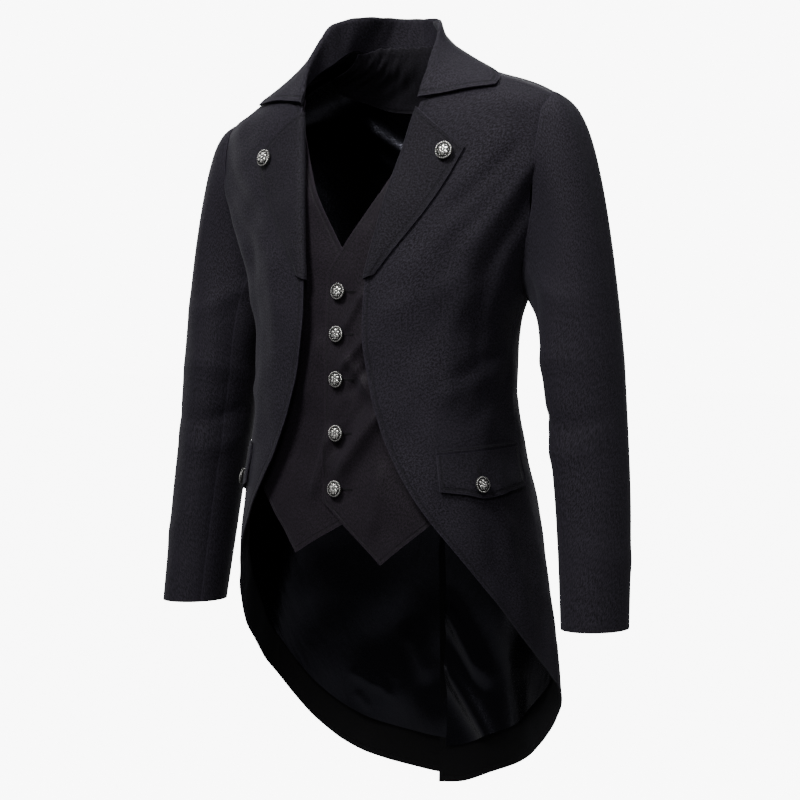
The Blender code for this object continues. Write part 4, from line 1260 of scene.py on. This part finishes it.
for side_name, side in SIDES:
    u, v = np.meshgrid(fractions((FLAP_POINT, 40), (1.0, 44)), fractions((1.0, 26)))
    angle, high, low = np.moveaxis(smooth(FLAP, u), -1, 0)
    height = mix(low, high, v)
    out = flap_face(angle, height)
    puff = 0.0007 * ease(0.0, 0.16, v) * ease(0.0, 0.05, u) * ease(1.0, 0.95, u)
    outer = on_form(angle, height, out + puff + ridge(u - 0.66, 0.08, 0.0008) * (1 - v))
    sew_wall("flap_" + side_name, outer, on_form(angle, height, out - FLAP_WALL), side, flap_cloth,
             FLAP_CUT, FLAP_AREA, "hung", ["welt_%s_cloth" % side_name], "lrb")
    u, v = np.meshgrid(fractions((1.0, 90)), fractions((1.0, 8)))
    angle, high, _ = np.moveaxis(smooth(FLAP, u), -1, 0)
    height = high + SEAM_GAP + WELT_HEIGHT * v
    out = LAYER_GAP + WELT_WALL + front_folds(angle, height) + 0.0004 * np.sin(math.pi * v)
    sew_wall("welt_" + side_name, *wall_on_form(angle, height, out, WELT_WALL), side, welt_cloth,
             WELT_CUT, WELT_AREA, "hung", ["front_%s_cloth" % side_name], "t")


# --------------------------------------------------------------------- sleeves
# Two-piece sleeves of the suiting, eased into the armholes at a soft rounded
# head and bent a little at the elbow, with plain turned hems at the wrist.
# Sleeve sections: height, centre x, centre y, half width, half depth
SLEEVE = (
    (-0.360, 0.2510, -0.010, 0.0440, 0.0530),
    (-0.430, 0.2590, -0.012, 0.0420, 0.0500),
    (-0.516, 0.2690, -0.018, 0.0395, 0.0475),
    (-0.590, 0.2750, -0.025, 0.0375, 0.0450),
    (-0.646, 0.2790, -0.031, 0.0360, 0.0430),
)
# Steps down the head, columns round the sleeve and at its two seams, arm rows
CAP_STEPS = fractions((0.14, 7), (1.0, 34))
AROUND = 80
FORE_SEAM = 8
HIND_SEAM = 64
ARM_ROWS = 44
# How far the head tucks into the armhole, and stands proud of the coat there
HEAD_LAP = 0.0018
HEAD_PROUD = 0.0010
ARMHOLE_CENTRE = (0.215, 0.0, -0.17)
# Ways the cloth leaves the armhole below and above, and reaches the arm
LEAVES_BELOW = (0.55, 0.0, -0.85)
LEAVES_ABOVE = (0.42, 0.0, 0.02)
REACHES_ARM = (0.1, 0.0, -1.0)
# The two columns at each seam sink a little
SEAM_SINK = (0.0007, 0.0004)
# Each half: its columns round the sleeve, its cut and its area
SLEEVE_HALVES = (
    ("under", range(HIND_SEAM, AROUND + FORE_SEAM + 1), (0.11, 0.50), 0.0355),
    ("top", range(FORE_SEAM, HIND_SEAM + 1), (0.21, 0.64), 0.104),
)


def arm_ring(height, turn):
    """Point of the sleeve's level section; the turn starts on the inside."""
    cx, cy, half_width, half_depth = smooth(SLEEVE[::-1], height)
    return np.array([cx - half_width * math.cos(turn), cy - half_depth * math.sin(turn), height])


def sleeve_folds(turn, z):
    """Creases at the elbow, drag from the armhole, and long folds down the front."""
    inside = 0.5 + 0.5 * np.cos(turn - 0.9)
    outside = 0.5 - 0.5 * np.cos(turn)
    elbow = (ridge(z + 0.405 + 0.020 * np.sin(turn), 0.009, -0.0026)
             + ridge(z + 0.432 + 0.026 * np.sin(turn + 0.4), 0.011, 0.0022)
             + ridge(z + 0.372 - 0.018 * np.sin(turn), 0.012, 0.0018)) * inside ** 2
    upper = ridge(z + 0.255 + 0.035 * np.sin(turn - 0.4), 0.013, 0.0024) * inside ** 2
    long_fold = ridge(turn - 1.15, 0.30, 0.0022) * ease(-0.60, -0.48, z) * ease(-0.20, -0.30, z)
    long_dip = ridge(turn - 1.95, 0.34, -0.0016) * ease(-0.64, -0.50, z) * ease(-0.14, -0.26, z)
    wrist = ridge(z + 0.560 - 0.014 * np.sin(turn + 1.0), 0.014, 0.0012) * outside
    return elbow + upper + long_fold + long_dip + wrist


# The head's ring of seats: up the front of the armhole and down its back.
climb = fractions((1.0, AROUND // 2))
places = [smooth(ARMHOLE_FRONT, t) for t in climb] + [smooth(ARMHOLE_BACK, t) for t in climb[-2::-1]]
seats = np.array([on_form(a, z) for a, z in places])
facing = np.array([outward(a, z) for a, z in places])
whole = []
for k in range(AROUND):
    run = seats[k + 1] - seats[k - 1 if k > 0 else -2]
    into_hole = np.cross(run, facing[k])
    into_hole /= np.linalg.norm(into_hole)
    if np.dot(into_hole, np.array(ARMHOLE_CENTRE) - seats[k]) < 0:
        into_hole = -into_hole
    start = seats[k] + facing[k] * HEAD_PROUD - into_hole * HEAD_LAP
    turn = 2.0 * math.pi * k / AROUND
    end = arm_ring(SLEEVE[0][0], turn)
    up = float(ease(UNDERARM[1], SHOULDER_TIP[1], places[k][1]))
    length = np.linalg.norm(end - start)
    leave = mix(np.array(LEAVES_BELOW), np.array(LEAVES_ABOVE), up) * length
    arrive = np.array(REACHES_ARM) * length
    line = [hermite(start, leave, end, arrive, t) for t in CAP_STEPS]
    line += [arm_ring(mix(SLEEVE[0][0], SLEEVE[-1][0], t), turn) for t in fractions((1.0, ARM_ROWS))[1:]]
    whole.append(line)
whole = np.array(whole)
along = np.gradient(whole, axis=1)
normals = np.cross(along, np.roll(whole, -1, axis=0) - np.roll(whole, 1, axis=0))
normals /= np.linalg.norm(normals, axis=2, keepdims=True)
if normals[AROUND // 2, -1, 0] < 0:
    normals = -normals
turns = (2.0 * math.pi * np.arange(AROUND) / AROUND)[:, None]
parts = np.linspace(0.0, 1.0, whole.shape[1])[None, :]
free = ease(0.0, 0.10, parts)
whole = whole + normals * (sleeve_folds(turns, whole[..., 2]) * free)[..., None]
for side_name, side in SIDES:
    for half_name, columns, cut, area in SLEEVE_HALVES:
        columns = [k % AROUND for k in columns]
        sink = np.zeros(len(columns))
        for k, depth in enumerate(SEAM_SINK):
            sink[[k, -1 - k]] = depth
        strip = whole[columns] - normals[columns] * sink[:, None, None]
        sew_wall("sleeve_%s_%s" % (side_name, half_name), strip, strip - normals[columns] * COAT_WALL, side,
                 coat_cloth, cut, area, "hung", ["front_%s_cloth" % side_name], "", 1.0)


# --------------------------------------------------------------------- buttons
# Cast shank buttons in antique silver: a dome with a raised rosette of six petals
# inside a rope rim, its hollows left dark.  One is modelled and the rest are
# copies of it, each sewn to its own place.
# Waistcoat buttons down the centre line: name, height
VEST_BUTTONS = (
    ("vest_button_1", -0.275),
    ("vest_button_2", -0.323),
    ("vest_button_3", -0.374),
    ("vest_button_4", -0.434),
    ("vest_button_5", -0.496),
)
# Lapel button's x and height, flap button's angle and height
LAPEL_BUTTON = (0.122, -0.124)
FLAP_BUTTON = (63.0, -0.491)
BUTTON_RADIUS = 0.0092
LAPEL_BUTTON_RADIUS = 0.0100
# The blank, in shares of the radius: shank's radius and length, then the rim's
# and the dome's rings as radius and height
SHANK = (0.24, 0.26)
DOME_STEPS = ((0.90, 0.28), (0.985, 0.33), (1.0, 0.38), (0.985, 0.44), (0.93, 0.49), (0.84, 0.53),
              (0.74, 0.575), (0.62, 0.62), (0.48, 0.66), (0.32, 0.69), (0.16, 0.705))
DOME_TOP = 0.008
# Raised beads, in shares of the radius: how many, turn of the first in steps,
# distance out, height, radius, stretch, tip in degrees, lean, facets round and
# down.  In turn the rope rim, six petals, a bead in each fork, and the heart.
BEADS = (
    (26, 0.0, 0.885, 0.515, 0.085, (0.78, 1.55, 0.75), 0.0, 0.75, 12, 8),
    (6, 0.5, 0.420, 0.645, 0.220, (1.15, 0.86, 0.42), 14.0, 0.0, 20, 12),
    (6, 0.0, 0.655, 0.605, 0.065, (0.80, 1.50, 0.80), 0.0, 0.0, 12, 8),
    (1, 0.0, 0.000, 0.725, 0.135, (1.00, 1.00, 0.55), 0.0, 0.0, 20, 12),
)
# How far over the dome the metal is rubbed bright, where the rim starts and what
# # share of that brightness it keeps, then the height below which the back is evenly dull
PROUD = 0.075
RIM_START = 0.78
RIM_BRIGHT_SHARE = 0.5
BACK_HEIGHT = 0.40
BACK_WORN = 0.25

silver, tree, shader = new_finish("antique_silver")
place = tree.nodes.new("ShaderNodeTexCoord").outputs["Object"]
tarnish = grain(tree, place, 700.0, 4.0, 0.6)
worn = attribute(tree, "relief")["Fac"]
high = maths(tree, "MULTIPLY_ADD", maths(tree, "SUBTRACT", tarnish, 0.5), 0.5, worn)
metal = colour_mix(tree, fade(tree, high, 0.10, 0.62), (0.024, 0.023, 0.023), (0.82, 0.81, 0.78))
tree.links.new(metal, shader.inputs["Base Color"])
tree.links.new(fade(tree, high, 0.1, 0.9, 0.58, 0.24), shader.inputs["Roughness"])
shader.inputs["Metallic"].default_value = 1.0
emboss(tree, maths(tree, "MULTIPLY", tarnish, 0.00012), 0.5)

# The turned blank, a unit across the radius: a flat disc for the shank's foot,
# drawn up, spread into the rim and closed in steps over the dome.
bpy.ops.mesh.primitive_circle_add(vertices=96, radius=SHANK[0], fill_type="NGON")
blank = bpy.context.object
bpy.ops.object.mode_set(mode="EDIT")
bpy.ops.mesh.select_all(action="SELECT")
bpy.ops.mesh.extrude_region_move(TRANSFORM_OT_translate={"value": (0.0, 0.0, SHANK[1])})
last_part, last_rise = SHANK
for part, rise in DOME_STEPS:
    bpy.ops.mesh.extrude_region_move(TRANSFORM_OT_translate={"value": (0.0, 0.0, rise - last_rise)})
    bpy.ops.transform.resize(value=(part / last_part, part / last_part, 1.0))
    last_part, last_rise = part, rise
bpy.ops.mesh.merge(type="CENTER")
bpy.ops.transform.translate(value=(0.0, 0.0, DOME_TOP))
bpy.ops.mesh.select_all(action="SELECT")
bpy.ops.mesh.normals_make_consistent(inside=False)
bpy.ops.object.mode_set(mode="OBJECT")


def dome_height(part):
    """Height of the blank's face at a share of the radius."""
    parts, rises = zip(*DOME_STEPS[:2:-1])
    return float(np.interp(part, parts, rises))


raised = []
for count, first, away, height, radius, stretch, tip, lean, round_facets, down_facets in BEADS:
    for k in range(count):
        turn = 2.0 * math.pi * (k + first) / count
        bpy.ops.mesh.primitive_uv_sphere_add(segments=round_facets, ring_count=down_facets, radius=radius,
                                             location=(away * math.cos(turn), away * math.sin(turn), height),
                                             rotation=(0.0, math.radians(tip), turn + lean), scale=stretch)
        raised.append(bpy.context.object)
bpy.ops.object.select_all(action="DESELECT")
for bit in raised + [blank]:
    bit.select_set(True)
bpy.context.view_layer.objects.active = blank
bpy.ops.object.join()
bpy.ops.object.shade_smooth()
bpy.ops.object.select_all(action="DESELECT")
shown = blank.data.attributes.new("relief", "FLOAT", "POINT")
stands = []
for corner in blank.data.vertices:
    away = math.hypot(corner.co.x, corner.co.y)
    proud = (corner.co.z - dome_height(min(away, 1.0))) / PROUD
    # The rope rim is kept darker than the rest of the raised work.
    rubbed = (RIM_BRIGHT_SHARE if away > RIM_START else 1.0) * max(0.0, min(1.0, proud))
    stands.append(BACK_WORN if corner.co.z < BACK_HEIGHT else rubbed)
shown.data.foreach_set("value", stands)
blank.data.materials.append(silver)


def sew_button(name, seat, out, radius):
    """A copy of the button, standing on its seat and facing the way out."""
    piece = blank.copy()
    piece.data = blank.data.copy()
    piece.name = piece.data.name = name + "_cast"
    bpy.context.scene.collection.objects.link(piece)
    turned = Vector(out).to_track_quat("Z", "Y").to_matrix().to_4x4()
    sized = Matrix.Diagonal((radius, radius, radius, 1.0))
    piece.data.transform(Matrix.Translation(Vector(seat)) @ turned @ sized)
    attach(piece, "root")
    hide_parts(name)


def seat_on(angle, height, out, side):
    """Seat and facing of a button on a layer's outer face."""
    flip = np.array([side, 1, 1])
    return settle(on_form(angle, height, out + SEAM_GAP) * flip), outward(angle, height) * flip


for name, height in VEST_BUTTONS:
    stand = VEST_OUT - smooth(VEST_DEPTH, height)[0] + max(0.0, float(vest_folds(0.0, height))) * HELD_FOLDS
    seat, out = seat_on(0.0, height, stand, 1)
    sew_button(name, seat, out, BUTTON_RADIUS)
for side_name, side in SIDES:
    x, height = LAPEL_BUTTON
    angle = angle_at(x, height)
    stand = LAPEL_FACE[2][1] + LAPEL_WALL / 2 + LAPEL_FOLDS * float(front_folds(angle, height))
    sew_button("lapel_button_" + side_name, *seat_on(angle, height, stand, side), LAPEL_BUTTON_RADIUS)
    angle, height = FLAP_BUTTON
    stand = LAYER_GAP + FLAP_WALL + FLAP_HANG + SEAM_GAP + float(front_folds(angle, height))
    sew_button("flap_button_" + side_name, *seat_on(angle, height, stand, side), BUTTON_RADIUS)
bpy.data.objects.remove(blank)


# ----------------------------------------------------------------- buttonholes
# Worked buttonholes in dark twist: a raised lip of close stitches round a slit,
# level beside each waistcoat button and upright above each flap button.
HOLE_LENGTH = 0.0165
LIP = 0.0007
# Cuts across the lip, and points of the line that it is laid on
LIP_CUTS = 12
HOLE_POINTS = 14
# Where a hole starts beside or above its button, and how far its lip is raised
# over the flap's plump face and over any cloth
HOLE_START = 0.0040
HOLE_ON_FLAP = 0.0006
LIP_RAISED = 0.15 * LIP

twist, tree, shader = new_finish("buttonhole_twist")
place = tree.nodes.new("ShaderNodeTexCoord").outputs["Object"]
strands = grain(tree, place, 2600.0, 2.0, 0.6)
thread = colour_mix(tree, strands, (0.0015, 0.0013, 0.0019), (0.0080, 0.0070, 0.0095))
tree.links.new(thread, shader.inputs["Base Color"])
tree.links.new(maths(tree, "MULTIPLY_ADD", strands, 0.2, 0.62), shader.inputs["Roughness"])
shader.inputs["Specular IOR Level"].default_value = 0.2
emboss(tree, maths(tree, "MULTIPLY", strands, 0.0003), 0.6)

# The lip, modelled flat: a small ring drawn out to the slit's length and cut
# across many times, so that it can bend with the cloth.
bpy.ops.object.select_all(action="DESELECT")
bpy.ops.mesh.primitive_torus_add(major_segments=24, minor_segments=8,
                                 major_radius=LIP, minor_radius=0.62 * LIP)
lip = bpy.context.object
for corner in lip.data.vertices:
    if corner.co.x > 1e-6:
        corner.co.x += HOLE_LENGTH
bpy.ops.object.mode_set(mode="EDIT")
for k in range(1, LIP_CUTS):
    bpy.ops.mesh.select_all(action="SELECT")
    bpy.ops.mesh.bisect(plane_co=(HOLE_LENGTH * k / LIP_CUTS, 0.0, 0.0), plane_no=(1.0, 0.0, 0.0))
bpy.ops.object.mode_set(mode="OBJECT")
bpy.ops.object.shade_smooth()
bpy.ops.object.select_all(action="DESELECT")
lip.data.materials.append(twist)


def work_hole(name, line, facing):
    """A copy of the lip, laid along a line of points on the cloth."""
    piece = lip.copy()
    piece.data = lip.data.copy()
    piece.name = piece.data.name = name
    bpy.context.scene.collection.objects.link(piece)
    along = np.gradient(line, axis=0)
    along /= np.linalg.norm(along, axis=1, keepdims=True)
    beside = np.cross(facing, along)
    stops = np.linspace(0.0, HOLE_LENGTH, len(line))
    for corner in piece.data.vertices:
        x, y, z = corner.co
        at = min(max(x, 0.0), HOLE_LENGTH)
        spot, ahead, across, up = [np.array([np.interp(at, stops, rail[:, axis]) for axis in range(3)])
                                   for rail in (line, along, beside, facing)]
        corner.co = spot + ahead * (x - at) + across * y + up * z
    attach(piece, "root")


for name, height in VEST_BUTTONS:
    x = np.linspace(HOLE_START, HOLE_START + HOLE_LENGTH, HOLE_POINTS)
    level = np.full(HOLE_POINTS, height)
    angle = np.array([angle_at(value, height) for value in x])
    lift = VEST_OUT - vest_depth(angle, level) + vest_folds(x, level) * HELD_FOLDS + LIP_RAISED
    work_hole(name.replace("button", "buttonhole"), settle(on_form(angle, level, lift)),
              outward(angle, level))
for side_name, side in SIDES:
    angle = np.full(HOLE_POINTS, FLAP_BUTTON[0])
    height = FLAP_BUTTON[1] + np.linspace(HOLE_START, HOLE_START + HOLE_LENGTH, HOLE_POINTS)
    lift = flap_face(angle, height) + HOLE_ON_FLAP + LIP_RAISED
    flip = np.array([side, 1, 1])
    work_hole("flap_buttonhole_" + side_name, settle(on_form(angle, height, lift) * flip),
              outward(angle, height) * flip)
bpy.data.objects.remove(lip)


# ------------------------------------------------------------------- the studio
# A plain pale floor under a pale sky, a broad soft key high in front, weaker lights
# in front, above, at both sides, behind and low down, and the camera.
# Lamps: name, place, aim, size, watts
LIGHTS = (
    ("key", (-0.15, -1.92, 1.85), (0.05, 0.0, -0.30), (0.8, 0.8), 112.0),
    ("front", (1.60, -2.20, 1.25), (0.1, 0.0, -0.35), (0.5, 0.5), 30.0),
    ("top", (0.3, 0.4, 2.8), (0.0, 0.0, -0.15), (1.2, 1.2), 58.0),
    ("side", (3.1, 0.5, 0.5), (0.1, 0.0, -0.45), (1.0, 2.0), 18.0),
    ("far_side", (-3.0, 0.9, 0.5), (-0.1, 0.0, -0.40), (1.0, 1.6), 26.0),
    ("back", (-0.9, 2.7, 0.5), (0.0, 0.0, -0.40), (1.4, 1.4), 56.0),
    ("low", (-2.9, -1.5, -0.3), (0.0, 0.0, -0.55), (0.4, 1.6), 3.0),
)
# Brightness of the sky and floor to the camera, and of the sky as it lights the coat
SKY_SEEN = 9.0
SKY_CAST = 0.10
FLOOR_SIZE = 40.0
FLOOR_DROP = 0.60
CAMERA_TURN = 34.0
CAMERA_PITCH = 3.0
CAMERA_DISTANCE = 2.776
CAMERA_AIM = (0.0, 0.0, -0.403)
# Focal length and sideways shift in pixels of a picture this many pixels wide
PICTURE_PIXELS = 800.0
FOCAL_PIXELS = 2389.0
SHIFT_PIXELS = 1.3
SENSOR = 36.0

floor_paper, tree, shader = new_finish("pale_floor")
place = tree.nodes.new("ShaderNodeTexCoord").outputs["Object"]
paper = grain(tree, place, 3.0, 3.0)
tree.links.new(colour_mix(tree, paper, (0.20, 0.20, 0.20), (0.24, 0.24, 0.24)), shader.inputs["Base Color"])
tree.links.new(maths(tree, "MULTIPLY_ADD", paper, 0.05, 0.85), shader.inputs["Roughness"])
seen = tree.nodes.new("ShaderNodeLightPath").outputs["Is Camera Ray"]
tree.links.new(colour_mix(tree, seen, (0.0, 0.0, 0.0), (0.98, 0.98, 0.98)), shader.inputs["Emission Color"])
shader.inputs["Emission Strength"].default_value = SKY_SEEN
bpy.ops.mesh.primitive_plane_add(size=FLOOR_SIZE, location=(0.0, 0.0, cad_box[0][2] - FLOOR_DROP))
floor = bpy.context.object
floor.name = "floor"
bpy.ops.object.transform_apply(location=True, rotation=False, scale=False)
bpy.ops.object.select_all(action="DESELECT")
floor.data.materials.append(floor_paper)

sky = bpy.data.worlds.new("pale_sky")
bpy.context.scene.world = sky
sky.use_nodes = True
tree = sky.node_tree
tree.nodes["Background"].inputs["Color"].default_value = (1.0, 1.0, 1.0, 1.0)
seen = tree.nodes.new("ShaderNodeLightPath").outputs["Is Camera Ray"]
tree.links.new(maths(tree, "MULTIPLY_ADD", seen, SKY_SEEN - SKY_CAST, SKY_CAST),
               tree.nodes["Background"].inputs["Strength"])

for name, spot, aim, size, power in LIGHTS:
    lamp = bpy.data.lights.new(name, "AREA")
    lamp.shape = "RECTANGLE"
    lamp.size, lamp.size_y = size
    lamp.energy = power
    holder = bpy.data.objects.new(name, lamp)
    holder.location = spot
    holder.rotation_euler = (Vector(aim) - Vector(spot)).to_track_quat("-Z", "Y").to_euler()
    bpy.context.scene.collection.objects.link(holder)

turn, pitch = math.radians(CAMERA_TURN), math.radians(CAMERA_PITCH)
aim = Vector(CAMERA_AIM)
eye = aim + CAMERA_DISTANCE * Vector((math.sin(turn) * math.cos(pitch), -math.cos(turn) * math.cos(pitch),
                                      math.sin(pitch)))
lens = bpy.data.cameras.new("camera")
lens.sensor_width = SENSOR
lens.sensor_fit = "HORIZONTAL"
lens.lens = SENSOR * FOCAL_PIXELS / PICTURE_PIXELS
lens.shift_x = SHIFT_PIXELS / PICTURE_PIXELS
camera = bpy.data.objects.new("camera", lens)
camera.location = eye
camera.rotation_euler = (aim - eye).to_track_quat("-Z", "Y").to_euler()
bpy.context.scene.collection.objects.link(camera)
bpy.context.scene.camera = camera
